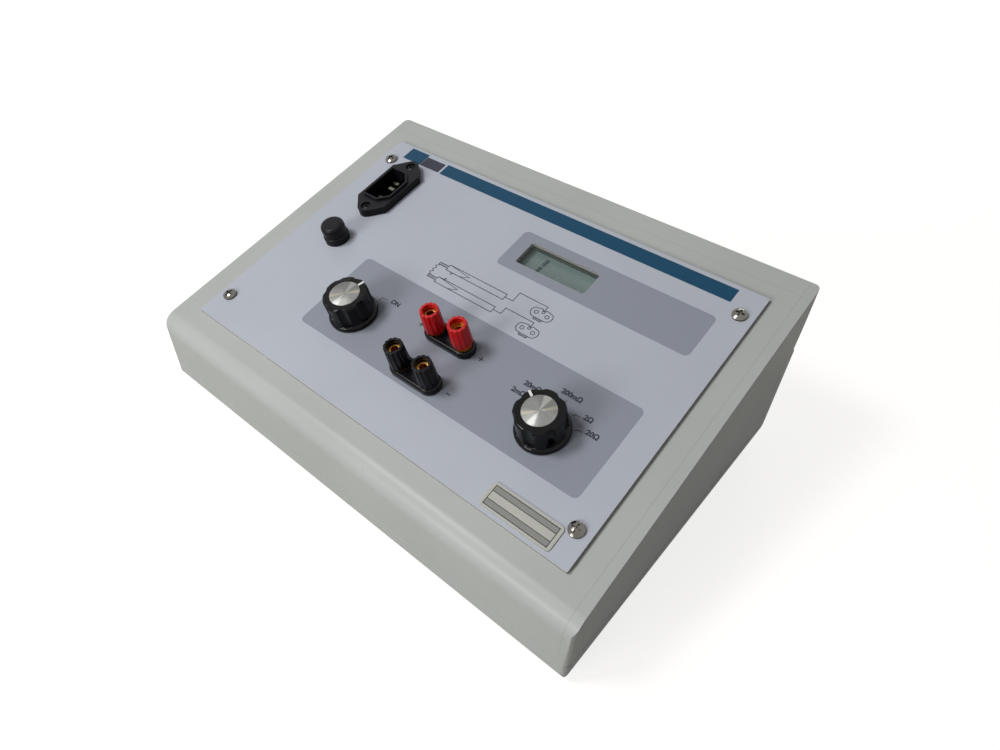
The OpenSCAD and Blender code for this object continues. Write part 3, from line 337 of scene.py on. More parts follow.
def ink_finish(name, tone):
    """Screen-printed ink: even, with a slightly broken surface."""
    paint = Paint(name)
    speck = paint.noise(2400, 3)
    wear = speck.rise(0.66, 0.8)
    paint.set(
        Base_Color=paint.mix(wear * 0.25, tone, shade(tone, 1.3)),
        Roughness=0.38 + speck * 0.12,
        Specular_IOR_Level=0.2,
    )
    return paint.bump(speck, 0.004 * MM)


def foil_finish(name, tone):
    """Satin metal foil: fine brushing along x, slightly stained."""
    paint = Paint(name)
    brushed = paint.noise(1, 3, paint.stretched((80, 3000, 3000)))
    stains = paint.noise(90, 4).rise(0.4, 0.75)
    body = paint.mix(brushed, shade(tone, 0.88), shade(tone, 1.1))
    body = paint.mix(stains * 0.25, body, shade(tone, 0.8))
    paint.set(Base_Color=body, Metallic=0.35, Roughness=0.42 + brushed * 0.16)
    return paint.bump(brushed, 0.004 * MM)


def hatched_finish(name):
    """Grey tint of fine printed lines that run along x."""
    paint = Paint(name)
    pitch = 0.42 * MM
    y = paint.axes(paint.place_from(PANEL))[1]
    lines = (y * (2 * pi / pitch)).math("SINE").rise(-0.3, 0.3)
    speck = paint.noise(2400, 3)
    body = paint.mix(lines, screen(112, 113, 110), screen(152, 152, 147))
    paint.set(Base_Color=body, Roughness=0.42 + speck * 0.14, Specular_IOR_Level=0.2)
    return paint.bump(speck, 0.004 * MM)


def turned_finish(name, tone, origin):
    """Aluminium turned on a lathe: fine rings, and the wedges of light that they gather, given by
    its anisotropic gloss and also painted into its colour as a highlight wedge, a warm wedge of
    sheen and radial streaks of sheen.
    """
    paint = Paint(name)
    pitch = 0.11 * MM
    x, y, _ = paint.axes(paint.place_from(origin))
    radius = (x * x + y * y).math("SQRT")
    rings = (radius * (2 * pi / pitch)).math("SINE")
    turn = y.math("ARCTAN2", x)
    # Painted light: a bright wedge of highlight, a warm wedge of sheen and light and dark radial
    # streaks of sheen are painted into the colour by the turn about the disc's middle; only the
    # stains are real marks.
    painted_highlight_turn, painted_warm_sheen_turn = radians(96), radians(44)
    highlight_paint = 1 - abs((turn - painted_highlight_turn).math("SINE")).rise(0.16, 0.34)
    painted_warm_sheen = 1 - abs((turn - painted_warm_sheen_turn).math("SINE")).rise(0.08, 0.2)
    painted_sheen_streaks = paint.add(
        "TexNoise", {"noise_dimensions": "1D"}, {"W": turn * 9, "Scale": 1.0, "Detail": 4.0}
    )
    stains = paint.noise(180, 3).rise(0.3, 0.7)
    body = paint.mix(painted_sheen_streaks, shade(tone, 0.42), shade(tone, 0.72))
    body = paint.mix(painted_warm_sheen * 0.35, body, screen(190, 182, 156))
    body = paint.mix(highlight_paint * 0.75, body, shade(tone, 1.25))
    body = paint.mix(stains * 0.2, body, shade(tone, 0.5))
    paint.set(Metallic=1.0, Base_Color=body, Roughness=0.3 + stains * 0.06, Anisotropic=0.75)
    return paint.bump(rings, 0.006 * MM)


def glossy_finish(name, tone, roughness=0.07, shine=0.16):
    """Hard glossy moulding with fine hairline scratches and some dust."""
    paint = Paint(name)
    hair = paint.noise(700, 6).rise(0.62, 0.8)
    dust = paint.noise(1600, 2).rise(0.68, 0.8)
    clouds = paint.noise(260, 3)
    body = paint.mix(dust * 0.05, tone, screen(120, 118, 112))
    paint.set(
        Base_Color=body,
        Roughness=roughness + hair * 0.14 + dust * 0.25,
        Specular_IOR_Level=shine,
    )
    return paint.bump(clouds, 0.012 * MM)


def clear_finish(name, tone, cover=0.05):
    """Clear plastic or glass with faint smears; cover is the share of the view that it hides."""
    paint = Paint(name)
    smear = paint.noise(120, 4).rise(0.5, 0.8)
    paint.set(
        Base_Color=paint.mix(smear, tone, shade(tone, 0.96)),
        Roughness=0.05 + smear * 0.05,
        Alpha=cover + smear * 0.02,
    )
    return paint


def board_finish(name, tone):
    """Green solder mask over tracks that run along both axes, with tinned pads."""
    paint = Paint(name)
    x, y, _ = paint.axes()
    wander = paint.noise(60, 1) * (20 * MM)
    across = ((x + wander) * 1400).math("SINE").rise(0.55, 0.75)
    along = ((y + wander) * 1100).math("SINE").rise(0.6, 0.8)
    choose = paint.noise(45, 0).rise(0.49, 0.51)
    tracks = (across * choose).larger(along * (1 - choose))
    pads = 1 - paint.cells(240).rise(0.16, 0.2)
    body = paint.mix(tracks, tone, shade(tone, 1.7))
    body = paint.mix(pads, body, screen(196, 196, 190))
    paint.set(Base_Color=body, Metallic=pads, Roughness=0.42 - pads * 0.12)
    return paint.bump(tracks + pads, 0.03 * MM)


def laminated_finish(name):
    """Transformer core: thin iron sheets stacked along y, lacquered and lightly rusted."""
    paint = Paint(name)
    sheet = 0.5 * MM
    y = paint.axes()[1]
    sheets = (y * (2 * pi / sheet)).math("SINE")
    rust = paint.noise(240, 5).rise(0.52, 0.7)
    body = paint.mix(rust * 0.6, screen(92, 90, 88), screen(112, 74, 50))
    paint.set(Base_Color=body, Metallic=0.85 - rust * 0.5, Roughness=0.42 + rust * 0.3)
    return paint.bump(sheets, 0.05 * MM)


def wound_finish(name):
    """Coil under yellow tape: turns of the tape run round the coil."""
    paint = Paint(name)
    tape = 5 * MM
    x, _, z = paint.axes()
    laps = (z * (2 * pi / tape) + x * 40).math("SINE").rise(0.9, 0.99)
    crease = paint.noise(420, 4)
    body = paint.mix(crease, screen(206, 164, 62), screen(226, 188, 92))
    body = paint.mix(laps * 0.7, body, screen(150, 112, 36))
    paint.set(Base_Color=body, Roughness=0.34 + crease * 0.2)
    return paint.bump(crease * 0.5 - laps, 0.06 * MM)


def sleeve_finish(name, tone, band_tone, axis, band_from, band_to):
    """Shrunk plastic sleeve with a plain band round it, between two places along an axis."""
    paint = Paint(name)
    along = paint.axes()[axis]
    soft = 0.2 * MM
    band = along.rise(band_from, band_from + soft) * (1 - along.rise(band_to, band_to + soft))
    shrink = paint.noise(380, 3)
    body = paint.mix(band, tone, band_tone)
    paint.set(Base_Color=body, Roughness=0.26 + shrink * 0.16)
    return paint.bump(shrink, 0.02 * MM)


def display_finish(name, tone):
    """Unlit display: grey-green glass with a faint sparkle, and a right end painted paler as
    painted light falling on it.
    """
    paint = Paint(name)
    # Painted light: the colour grows paler towards the right end, as if more light fell there.
    pale = paint.axes()[0].rise(26 * MM, 50 * MM)
    sparkle = paint.noise(3600, 1)
    body = paint.mix(pale * 0.5, shade(tone, 0.9), shade(tone, 1.35))
    body = paint.mix(sparkle, shade(tone, 0.96), body)
    paint.set(Base_Color=body, Roughness=0.22 + sparkle * 0.1)
    return paint.bump(sparkle, 0.002 * MM)


# Mesh building


def piece(name, bm, paint, body, angle=35):
    """Makes a finished object of a bmesh, in place and riding on its body."""
    mesh = bpy.data.meshes.new(name)
    bm.normal_update()
    bm.to_mesh(mesh)
    bm.free()
    mesh.materials.append(paint.material)
    made = bpy.data.objects.new(name, mesh)
    bpy.context.scene.collection.objects.link(made)
    mesh.shade_smooth()
    mesh.set_sharp_from_angle(angle=radians(angle))
    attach(made, body)
    return made


def steady(made):
    """Keeps large flat faces flat where rounded edges meet them."""
    weighted = made.modifiers.new("flat faces", "WEIGHTED_NORMAL")
    weighted.keep_sharp = True
    weighted.weight = 100
    return made


def everywhere(edge):
    return True


def nowhere(edge):
    return False


def rounded(node, width, steps=2, where=everywhere, rim=nowhere, rim_width=0):
    """A merged copy of a CAD node's mesh, with the rim's sharp edges and then others rounded."""
    flat, sharp_from = radians(0.4), radians(28)
    bm = bmesh.new()
    bm.from_mesh(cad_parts[node].data)
    bmesh.ops.remove_doubles(bm, verts=bm.verts[:], dist=0.002 * MM)
    bmesh.ops.dissolve_limit(bm, angle_limit=flat, verts=bm.verts[:], edges=bm.edges[:])
    for chosen, offset in ((rim, rim_width), (where, width)):
        sharp = [
            edge
            for edge in bm.edges
            if edge.is_manifold and edge.calc_face_angle(0) > sharp_from and chosen(edge)
        ]
        bmesh.ops.bevel(
            bm,
            geom=sharp,
            offset=offset,
            affect="EDGES",
            segments=steps,
            profile=0.5,
            material=-1,
            clamp_overlap=True,
        )
    return bm


def panel_box(node):
    """Lowest and highest corner of a CAD node in the panel's own frame."""
    back = PANEL.inverted()
    places = [back @ v.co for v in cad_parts[node].data.vertices]
    low = Vector(min(p[axis] for p in places) for axis in range(3))
    high = Vector(max(p[axis] for p in places) for axis in range(3))
    return low, high


def dressed(node, paint):
    """A CAD node that stays as it is gets a finish."""
    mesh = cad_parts[node].data
    mesh.materials.clear()
    mesh.materials.append(paint.material)


# Printing on the panel: its points, corners and radii are in millimetres from the panel's
# middle, and the widths of its strokes are in metres


class Ink:
    """Collects flat printed shapes and makes one thin raised mesh of them on the panel."""

    def __init__(self, thickness, level=0):
        self.bm = bmesh.new()
        self.thickness = thickness
        self.level = level

    def take(self, faces):
        """Gives flat faces the ink's thickness."""
        raised = bmesh.ops.extrude_face_region(self.bm, geom=faces)["geom"]
        tops = [item for item in raised if isinstance(item, bmesh.types.BMVert)]
        bmesh.ops.translate(self.bm, verts=tops, vec=(0, 0, self.thickness))

    def bar(self, start, end, width):
        """A straight stroke between two points."""
        a, b = Vector(start) * MM, Vector(end) * MM
        turn = Matrix.Rotation(atan2((b - a).y, (b - a).x), 4, "Z")
        place = Matrix.Translation((*(a + b) / 2, self.level)) @ turn
        size = Matrix.Diagonal(((b - a).length + width, width, 1, 1))
        made = bmesh.ops.create_grid(
            self.bm, x_segments=1, y_segments=1, size=0.5, matrix=place @ size
        )
        self.take(list({face for v in made["verts"] for face in v.link_faces}))

    def line(self, points, width):
        for start, end in zip(points, points[1:]):
            self.bar(start, end, width)

    def slab(self, low, high, corner=0):
        """A rectangle with round corners."""
        self.take(self.flat(low, high, corner))

    def flat(self, low, high, corner):
        """The single face of a rectangle with round corners."""
        low, high = Vector(low) * MM, Vector(high) * MM
        place = Matrix.Translation((*(low + high) / 2, self.level))
        size = Matrix.Diagonal((high.x - low.x, high.y - low.y, 1, 1))
        made = bmesh.ops.create_grid(
            self.bm, x_segments=1, y_segments=1, size=0.5, matrix=place @ size
        )
        faces = list({face for v in made["verts"] for face in v.link_faces})
        if corner:
            cut = bmesh.ops.bevel(
                self.bm,
                geom=made["verts"],
                offset=corner * MM,
                affect="VERTICES",
                segments=8,
                profile=0.5,
                material=-1,
            )
            faces = list({face for v in cut["verts"] for face in v.link_faces})
        return faces

    def ring(self, outer, inner):
        """A rounded rectangle with a rounded hole; each is its low, high and corner."""
        rims = []
        for low, high, corner in (outer, inner):
            faces = self.flat(low, high, corner)
            rims += [edge for face in faces for edge in face.edges]
            bmesh.ops.delete(self.bm, geom=faces, context="FACES_ONLY")
        self.take(bmesh.ops.bridge_loops(self.bm, edges=rims)["faces"])

    def circle(self, centre, radius, width):
        """A round stroke, as wide inwards from the radius as its width."""
        made = bmesh.ops.create_circle(
            self.bm,
            cap_ends=True,
            segments=40,
            radius=radius * MM,
            matrix=Matrix.Translation((centre[0] * MM, centre[1] * MM, self.level)),
        )
        inside = list({face for v in made["verts"] for face in v.link_faces})
        stroke = bmesh.ops.inset_region(
            self.bm, faces=inside, thickness=width, use_boundary=True, use_even_offset=True
        )["faces"]
        bmesh.ops.delete(self.bm, geom=inside, context="FACES")
        self.take(stroke)

    def words(self, text, centre, height):
        """Numbers or a switch word, from the built-in font, in the middle of a place."""
        letters = bpy.data.curves.new(text, "FONT")
        letters.body = text
        letters.size = height / CAP_SHARE
        letters.align_x = "CENTER"
        letters.align_y = "CENTER"
        letters.extrude = self.thickness / 2
        letters.offset = height * BOLD_SHARE
        source = bpy.data.objects.new(text, letters)
        bpy.context.scene.collection.objects.link(source)
        bpy.context.view_layer.update()
        mesh = bpy.data.meshes.new_from_object(source)
        lift = self.level + self.thickness / 2
        mesh.transform(Matrix.Translation((centre[0] * MM, centre[1] * MM, lift)))
        self.bm.from_mesh(mesh)
        bpy.data.objects.remove(source)
        bpy.data.curves.remove(letters)
        bpy.data.meshes.remove(mesh)

    def printed(self, name, paint, body="case"):
        """Puts the shapes on the panel as one finished object."""
        bmesh.ops.recalc_face_normals(self.bm, faces=self.bm.faces[:])
        bmesh.ops.transform(self.bm, matrix=PANEL, verts=self.bm.verts[:])
        return piece(name, self.bm, paint, body)


# A capital's height as a share of the built-in font's size
CAP_SHARE = 0.73

# How much the letters' outlines are thickened, as a share of their height
BOLD_SHARE = 0.06


# Operators, one for each piece or group of like pieces


def on_outside(edge):
    """True for the cover's and the tray's edges that can be seen from outside."""
    side = CASE_SIDE - 0.3 * MM
    back = CASE_BACK - 6.3 * MM
    front = CASE_FRONT + 3 * MM
    return all(abs(v.co.x) > side or v.co.y > back or v.co.y < front for v in edge.verts)


class OHM_OT_case(bpy.types.Operator):
    """Rounds the outside edges of the cover and the tray and gives them their grain"""

    bl_idname = "ohmmeter.case"
    bl_label = "Case"

    def execute(self, context):
        sizes = context.scene.ohmmeter_sizes
        paint = case_finish("case moulding", tuple(context.scene.ohmmeter_colours.case))
        rim_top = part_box("top_cover")[0].z + 0.5 * MM
        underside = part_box("base_tray")[0].z + 0.3 * MM
        cover = rounded(
            "top_cover",
            sizes.cover_edge,
            where=lambda edge: on_outside(edge) and all(v.co.z > rim_top for v in edge.verts),
            rim=lambda edge: on_outside(edge) and all(v.co.z < rim_top for v in edge.verts),
            rim_width=sizes.rim_edge,
        )
        made = steady(piece("cover", cover, paint, "case"))
        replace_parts(made, "top_cover")
        tray = rounded(
            "base_tray",
            sizes.tray_edge,
            steps=3,
            where=lambda edge: on_outside(edge) and any(v.co.z > underside for v in edge.verts),
            rim=lambda edge: on_outside(edge) and all(v.co.z < underside for v in edge.verts),
            rim_width=sizes.tray_bottom,
        )
        made = steady(piece("tray", tray, paint, "case"))
        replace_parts(made, "base_tray")
        return {"FINISHED"}


class OHM_OT_panel(bpy.types.Operator):
    """Rounds the edges of the front panel and paints it"""

    bl_idname = "ohmmeter.panel"
    bl_label = "Front panel"

    def execute(self, context):
        tone = tuple(context.scene.ohmmeter_colours.panel)
        paint = panel_finish("panel paint", tone, screen(150, 146, 138))
        edge = context.scene.ohmmeter_sizes.plate_edge
        made = steady(piece("panel", rounded("front_panel", edge), paint, "case"))
        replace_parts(made, "front_panel")
        return {"FINISHED"}


# Printed rectangles: low corner, high corner and radius of the corners
PRINT_RIGHT = 113
KNOB_FIELD = ((-70.6, -56.6), (PRINT_RIGHT, -3), 3)
DISPLAY_FIELD = ((-5, 32.4), (PRINT_RIGHT, 60.6), 3)
DISPLAY_HOLE = ((4, 38.6), (49, 54.6), 1.5)
STRIPE = ((-83.4, 72.4), (PRINT_RIGHT, 81.4))
STRIPE_START = ((-115.4, 72.6), (-100.6, 82.6))
DARK_BLOCK = ((-100.4, 72.6), (-85, 80.6))


class OHM_OT_fields(bpy.types.Operator):
    """Prints the grey fields and the stripe on the panel"""

    bl_idname = "ohmmeter.fields"
    bl_label = "Printed fields"

    def execute(self, context):
        colours = context.scene.ohmmeter_colours
        thickness = context.scene.ohmmeter_sizes.print_thickness
        fields = Ink(thickness)
        fields.slab(*KNOB_FIELD)
        fields.ring(DISPLAY_FIELD, DISPLAY_HOLE)
        fields.printed("printed_fields", ink_finish("field ink", tuple(colours.field)))
        stripe = Ink(thickness)
        stripe.slab(*STRIPE)
        stripe.slab(*STRIPE_START)
        stripe.printed("printed_stripe", ink_finish("stripe ink", tuple(colours.stripe)))
        block = Ink(thickness)
        block.slab(*DARK_BLOCK)
        block.printed("printed_block", ink_finish("block ink", screen(52, 54, 66)))
        return {"FINISHED"}


# Distances of the knobs' axes from the panel's middle
POWER_X = -47.2
RANGE_X = 80.3

# Ticks: each point's distance to the side of its knob's axis, and its height
POWER_TICK = ((5, -22.8), (5.5, -20.5), (8.7, -20.3))
RANGE_TICKS = (
    ((11.9, -29.6), (13.9, -28.3), (15.6, -28.3)),
    ((6.7, -24.1), (7.8, -22.4), (10.6, -22.4)),
)
MIDDLE_TICK = ((RANGE_X, -22.2), (RANGE_X, -18.4))

# Numbers and words with their middles
WORDS = [
    ("2mΩ", (58.2, -27.2)),
    ("20mΩ", (62.2, -21.2)),
    ("200mΩ", (80.7, -15)),
    ("2Ω", (94.3, -21.2)),
    ("20Ω", (100.5, -27)),
    ("ON", (-32.4, -19.6)),
    ("OFF", (-61.5, -19.6)),
]

# Plus and minus signs beside the ends of the post plates
SIGNS_X = (-10.2, 30.8)
PLUS_Y = -22.4
MINUS_Y = -47.2
SIGN_REACH = 1.1

# Lead diagram: each probe's height, its plug's height and the side where the other probe lies
LEADS = ((15.6, 16.4, -1), (5.6, 4.4, 1))
PROBE_LEFT = -25
PROBE_RIGHT = 15.4
PROBE_HALF = 2
PIN_LEFT = -31.6
PIN_HALF = 0.8
NIB = 15.2
NIB_RISE = 0.3
HEEL = 7.2
PLUG_X = 39


def shares(steps):
    """Evenly spaced shares from 0 to 1."""
    return [step / steps for step in range(steps + 1)]


class OHM_OT_marks(bpy.types.Operator):
    """Prints the ticks, the numbers, the switch words, the signs and the lead diagram"""

    bl_idname = "ohmmeter.marks"
    bl_label = "Printed marks"

    def execute(self, context):
        sizes = context.scene.ohmmeter_sizes
        stroke = sizes.stroke
        marks = Ink(2 * sizes.print_thickness)
        self.ticks(marks, stroke)
        for text, centre in WORDS:
            marks.words(text, centre, sizes.digit_height)
        self.signs(marks, 1.5 * stroke)
        for level, plug_y, inward in LEADS:
            self.probe(marks, level, inward, stroke)
            self.plug(marks, plug_y, stroke)
            self.lead(marks, level, plug_y, stroke)
        self.resistor(marks, stroke)
        ink = ink_finish("mark ink", tuple(context.scene.ohmmeter_colours.ink))
        marks.printed("printed_marks", ink)
        return {"FINISHED"}

    def ticks(self, marks, stroke):
        """Bent ticks on both sides of the knobs, and a straight one above the range knob."""
        bent = [(POWER_X, POWER_TICK), *((RANGE_X, tick) for tick in RANGE_TICKS)]
        for middle, tick in bent:
            for side in (-1, 1):
                marks.line([(middle + side * away, y) for away, y in tick], stroke)
        marks.line(MIDDLE_TICK, stroke)

    def signs(self, marks, stroke):
        """A plus at each end of the red plate and a minus at each end of the black one."""
        for x in SIGNS_X:
            for y in (PLUS_Y, MINUS_Y):
                marks.line([(x - SIGN_REACH, y), (x + SIGN_REACH, y)], stroke)
            marks.line([(x, PLUS_Y - SIGN_REACH), (x, PLUS_Y + SIGN_REACH)], stroke)

    def probe(self, marks, level, inward, stroke):
        """A probe's barrel with a pointed nib drawn inside it, a wedge and a hatched pin."""
        for side in (-1, 1):
            barrel, pin = level + side * PROBE_HALF, level + side * PIN_HALF
            outline = [(PROBE_RIGHT, barrel), (PROBE_LEFT, barrel), (PROBE_LEFT, pin)]
            marks.line([*outline, (PIN_LEFT, pin)], stroke)
        top, bottom = level + PROBE_HALF, level - PROBE_HALF
        marks.line([(PROBE_RIGHT, top), (PROBE_RIGHT, bottom)], stroke)
        tip_x, tip_y = PROBE_LEFT + NIB, level + NIB_RISE
        marks.line([(PROBE_LEFT, top), (tip_x, tip_y)], 0.7 * stroke)
        heel = [
            (tip_x - HEEL * (1 - share), bottom + (tip_y - bottom) * share**2)
            for share in shares(8)
        ]
        marks.line(heel, 0.7 * stroke)
        edge, wedge_x = level + inward * PROBE_HALF, PROBE_LEFT + 4.4
        wedge = [(wedge_x - 0.8, edge), (wedge_x, edge + inward * 1.3), (wedge_x + 0.8, edge)]
        marks.line(wedge, stroke)
        for step in range(9):
            x = PIN_LEFT + 0.3 + step * 0.7
            marks.line([(x, level - PIN_HALF), (x + 0.5, level + PIN_HALF)], 0.4 * stroke)

    def lead(self, marks, level, plug_y, stroke):
        """The line from a probe's end, up and over to the middle hole of its plug."""
        bend_x, top = PROBE_RIGHT + 5.2, plug_y + 5.6
        points = [(PROBE_RIGHT, level), (bend_x, level), (bend_x, top), (PLUG_X, top)]
        marks.line([*points, (PLUG_X, plug_y + 2.6)], stroke)

    def plug(self, marks, y, stroke):
        """A plug's face: two lobes with a hole in each, a middle hole and a ribbed key."""
        x, reach, lobe = PLUG_X, 3.4, 3.2
        outline = [
            (x + side * (reach + lobe * cos(turn)), y + lobe * sin(turn))
            for side, turns in ((-1, range(50, -91, -14)), (1, range(-90, 51, 14)))
            for turn in map(radians, turns)
        ]
        marks.line(outline, stroke)
        waist = [
            (x + side * (1.7 + cos(turn)), y + 2.45 + 0.8 * sin(turn))
            for side, turns in ((-1, range(90, 181, 30)), (1, range(180, 89, -30)))
            for turn in map(radians, turns)
        ]
        marks.line([outline[0], *waist, outline[-1]], stroke)
        for side in (-1, 1):
            marks.circle((x + side * reach, y), 1.25, stroke)
        marks.circle((x, y + 1.6), 0.95, stroke)
        self.key(marks, y - lobe, stroke)

    def key(self, marks, top, stroke):
        """The ribbed key under a plug's face."""
        foot = top - 1.2
        corners = [(-2.6, top), (-2.3, foot), (2.3, foot), (2.6, top)]
        marks.line([(PLUG_X + away, y) for away, y in corners], stroke)
        for step in range(7):
            x = PLUG_X - 1.8 + step * 0.6
            marks.line([(x, foot + 0.2), (x, foot + 1)], 0.4 * stroke)

    def resistor(self, marks, stroke):
        """The part under test: a zigzag between the two probes."""
        top, bottom = LEADS[0][0], LEADS[1][0]
        steps = 8
        points = [(PIN_LEFT, top)]
        for step in range(1, steps):
            side = 0.8 if step % 2 else -0.8
            points.append((PIN_LEFT + side, top + (bottom - top) * step / steps))
        points.append((PIN_LEFT, bottom))
        marks.line(points, stroke)


class OHM_OT_serial_plate(bpy.types.Operator):
    """Makes the small aluminium plate with its plain ruled rows"""

    bl_idname = "ohmmeter.serial_plate"
    bl_label = "Serial plate"

    def execute(self, context):
        sizes = context.scene.ohmmeter_sizes
        low, high = panel_box("serial_plate")
        foil = foil_finish("plate foil", screen(156, 156, 149))
        plate = Ink(high.z - low.z, low.z)
        plate.slab(low.xy / MM, high.xy / MM, 1.8)
        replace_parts(plate.printed("plate", foil), "serial_plate")
        margin, rule = Vector((1.9, 1.4)), 0.3 * MM
        left, bottom = low.xy / MM + margin
        right, top = high.xy / MM - margin
        row = (top - bottom) * 0.29
        bands = Ink(sizes.print_thickness, high.z)
        bands.slab((left, bottom), (right, bottom + row))
        bands.slab((left, top - row), (right, top))
        bands.printed("plate_bands", hatched_finish("plate grey"))
        rules = Ink(2 * sizes.print_thickness, high.z)
        for y in (bottom, bottom + row, top - row, top):
            rules.line([(left, y), (right, y)], rule)
        for x in (left, right):
            rules.line([(x, bottom), (x, top)], rule)
        rules.printed("plate_rules", ink_finish("plate ink", screen(34, 34, 38)))
        return {"FINISHED"}


# The display's digit: two upright bars
DIGIT_BARS = (((16.1, 51.2), (15.7, 48.4)), ((15.5, 45.2), (15.1, 41.8)))


class OHM_OT_display(bpy.types.Operator):
    """Makes the display, its digit, its clear window and its dark surround"""

    bl_idname = "ohmmeter.display"
    bl_label = "Display"

    def execute(self, context):
        colours = context.scene.ohmmeter_colours
        glass = display_finish("display glass", tuple(colours.display))
        plain = rounded("display_glass", 0.1 * MM)
        made = steady(piece("display", plain, glass, "case"))
        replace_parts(made, "display_glass")
        digit = Ink(0.04 * MM, panel_box("display_glass")[1].z)
        for start, end in DIGIT_BARS:
            digit.bar(start, end, 2.4 * MM)
        digit.printed("digit", ink_finish("digit black", screen(38, 46, 56)))
        clear = clear_finish("window plastic", screen(190, 212, 204))
        pane = rounded("display_window", 0.25 * MM)
        made = steady(piece("window", pane, clear, "case"))
        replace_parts(made, "display_window")
        dressed("display_frame", plastic("surround", screen(34, 36, 36), 0.5))
        return {"FINISHED"}


# Directions of the knobs' pointers in the photographed positions, in degrees from the right
POINTERS = (("power", 75), ("range", 150))


class OHM_OT_knobs(bpy.types.Operator):
    """Makes both fluted knobs, their turned discs and their white pointers"""

    bl_idname = "ohmmeter.knobs"
    bl_label = "Knobs"

    def execute(self, context):
        sizes = context.scene.ohmmeter_sizes
        gloss = glossy_finish("knob gloss", tuple(context.scene.ohmmeter_colours.knob))
        white = ink_finish("pointer white", screen(226, 226, 222))
        for name, pointer in POINTERS:
            knob, disc, turns = f"{name}_knob", f"{name}_knob_disc", f"{name}_knob_turns"
            top = panel_box(knob)[1].z
            centre = sum(panel_box(disc), Vector()) / 2
            grip = rounded(knob, sizes.knob_edge)
            made = piece(f"{name}_grip", grip, gloss, turns, 50)
            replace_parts(made, knob)
            origin = PANEL @ Matrix.Translation(centre)
            # The disc's finish paints wedges of highlight and sheen into its colour.
            highlight_paint = turned_finish(f"{name} disc", screen(158, 158, 155), origin)
            face = rounded(disc, 0.12 * MM)
            made = piece(f"{name}_disc", face, highlight_paint, turns)
            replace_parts(made, disc)
            line = Ink(0.06 * MM, top - 0.01 * MM)
            middle = centre.xy / MM
            along = Vector((cos(radians(pointer)), sin(radians(pointer))))
            line.bar(middle + along * 9, middle + along * 11.2, 1.2 * MM)
            line.printed(f"{name}_pointer", white, turns)
            dressed(f"{name}_set_screw", metal(f"{name} set screw", screen(190, 150, 90), 0.28))
        return {"FINISHED"}


class OHM_OT_posts(bpy.types.Operator):
    """Makes the binding posts: plates, caps, inserts and studs"""

    bl_idname = "ohmmeter.posts"
    bl_label = "Binding posts"

    def execute(self, context):
        colours = context.scene.ohmmeter_colours
        edge = context.scene.ohmmeter_sizes.post_edge
        black = glossy_finish("post black", tuple(colours.black), 0.2, 0.16)
        red = glossy_finish("post red", tuple(colours.red), 0.26, 0.3)
        brass = metal("post brass", tuple(colours.brass), 0.3)
        for row, paint in (("red", red), ("black", black)):
            plate = f"{row}_post_plate"
            made = piece(f"{row}_plate", rounded(plate, edge), black, "case")
            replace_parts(made, plate)
            for side in ("left", "right"):
                name = f"{row}_{side}"
                grip = rounded(f"{name}_cap", edge)
                made = piece(f"{name}_grip", grip, paint, f"{name}_cap", 50)
                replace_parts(made, f"{name}_cap")
                dressed(f"{name}_insert", brass)
        dressed("post_studs", brass)
        steel = metal("plated steel", screen(176, 176, 172), 0.34)
        for node in ("post_nuts", "post_tags"):
            dressed(node, steel)
        return {"FINISHED"}


class OHM_OT_inlet(bpy.types.Operator):
    """Makes the mains inlet with its blades, screws and nuts"""

    bl_idname = "ohmmeter.inlet"
    bl_label = "Mains inlet"

    def execute(self, context):
        tone = tuple(context.scene.ohmmeter_colours.black)
        satin = plastic("inlet black", tone, 0.36, 1800, shine=0.14)
        edge = context.scene.ohmmeter_sizes.inlet_edge
        made = steady(piece("inlet", rounded("inlet_body", edge), satin, "case"))
        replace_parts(made, "inlet_body")
        # The blades' nickel is toned dark as painted shade, for the shade deep in the socket.
        dressed("inlet_pins", metal("blade nickel in painted shade", screen(120, 116, 104), 0.2))
        dressed("inlet_screws", metal("inlet screw black", screen(40, 40, 42), 0.4))
        dressed("inlet_nuts", metal("inlet nut steel", screen(176, 176, 172), 0.34))
        return {"FINISHED"}


class OHM_OT_fuse_holder(bpy.types.Operator):
    """Makes the fuse holder, its cap and the fuse inside"""

    bl_idname = "ohmmeter.fuse_holder"
    bl_label = "Fuse holder"

    def execute(self, context):
        tone = tuple(context.scene.ohmmeter_colours.black)
        satin = plastic("fuse holder black", tone, 0.34, 1800, shine=0.14)
        dressed("fuse_holder_body", satin)
        dressed("fuse_holder_nut", satin)
        rounding, dome = 0.2 * MM, 1.5 * MM
        back = PANEL.inverted()
        crown = panel_box("fuse_cap")[1].z - 0.2 * MM
        grip = rounded(
            "fuse_cap",
            rounding,
            steps=5,
            rim=lambda edge: all((back @ v.co).z > crown for v in edge.verts),
            rim_width=dome,
        )
        made = piece("fuse_grip", grip, satin, "fuse_cap")
        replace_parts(made, "fuse_cap")
        dressed("fuse_tube", clear_finish("fuse glass", screen(206, 214, 210), cover=0.4))
        dressed("fuse_ends", metal("fuse end nickel", screen(198, 194, 184), 0.24))
        dressed("fuse_holder_contacts", metal("contact tin", screen(186, 184, 176), 0.34))
        return {"FINISHED"}


class OHM_OT_fixings(bpy.types.Operator):
    """Finishes the screws and feet on the outside of the case"""

    bl_idname = "ohmmeter.fixings"
    bl_label = "Screws and feet"

    def execute(self, context):
        chrome = metal("screw chrome", screen(116, 113, 108), 0.18)
        steel = metal("screw steel", screen(140, 140, 136), 0.34)
        dressed("panel_screws", chrome)
        dressed("case_screws", steel)
        rubber = plastic("foot rubber", screen(46, 45, 44), 0.82, grain=1500, depth=0.03 * MM)
        dressed("rubber_feet", rubber)
        return {"FINISHED"}


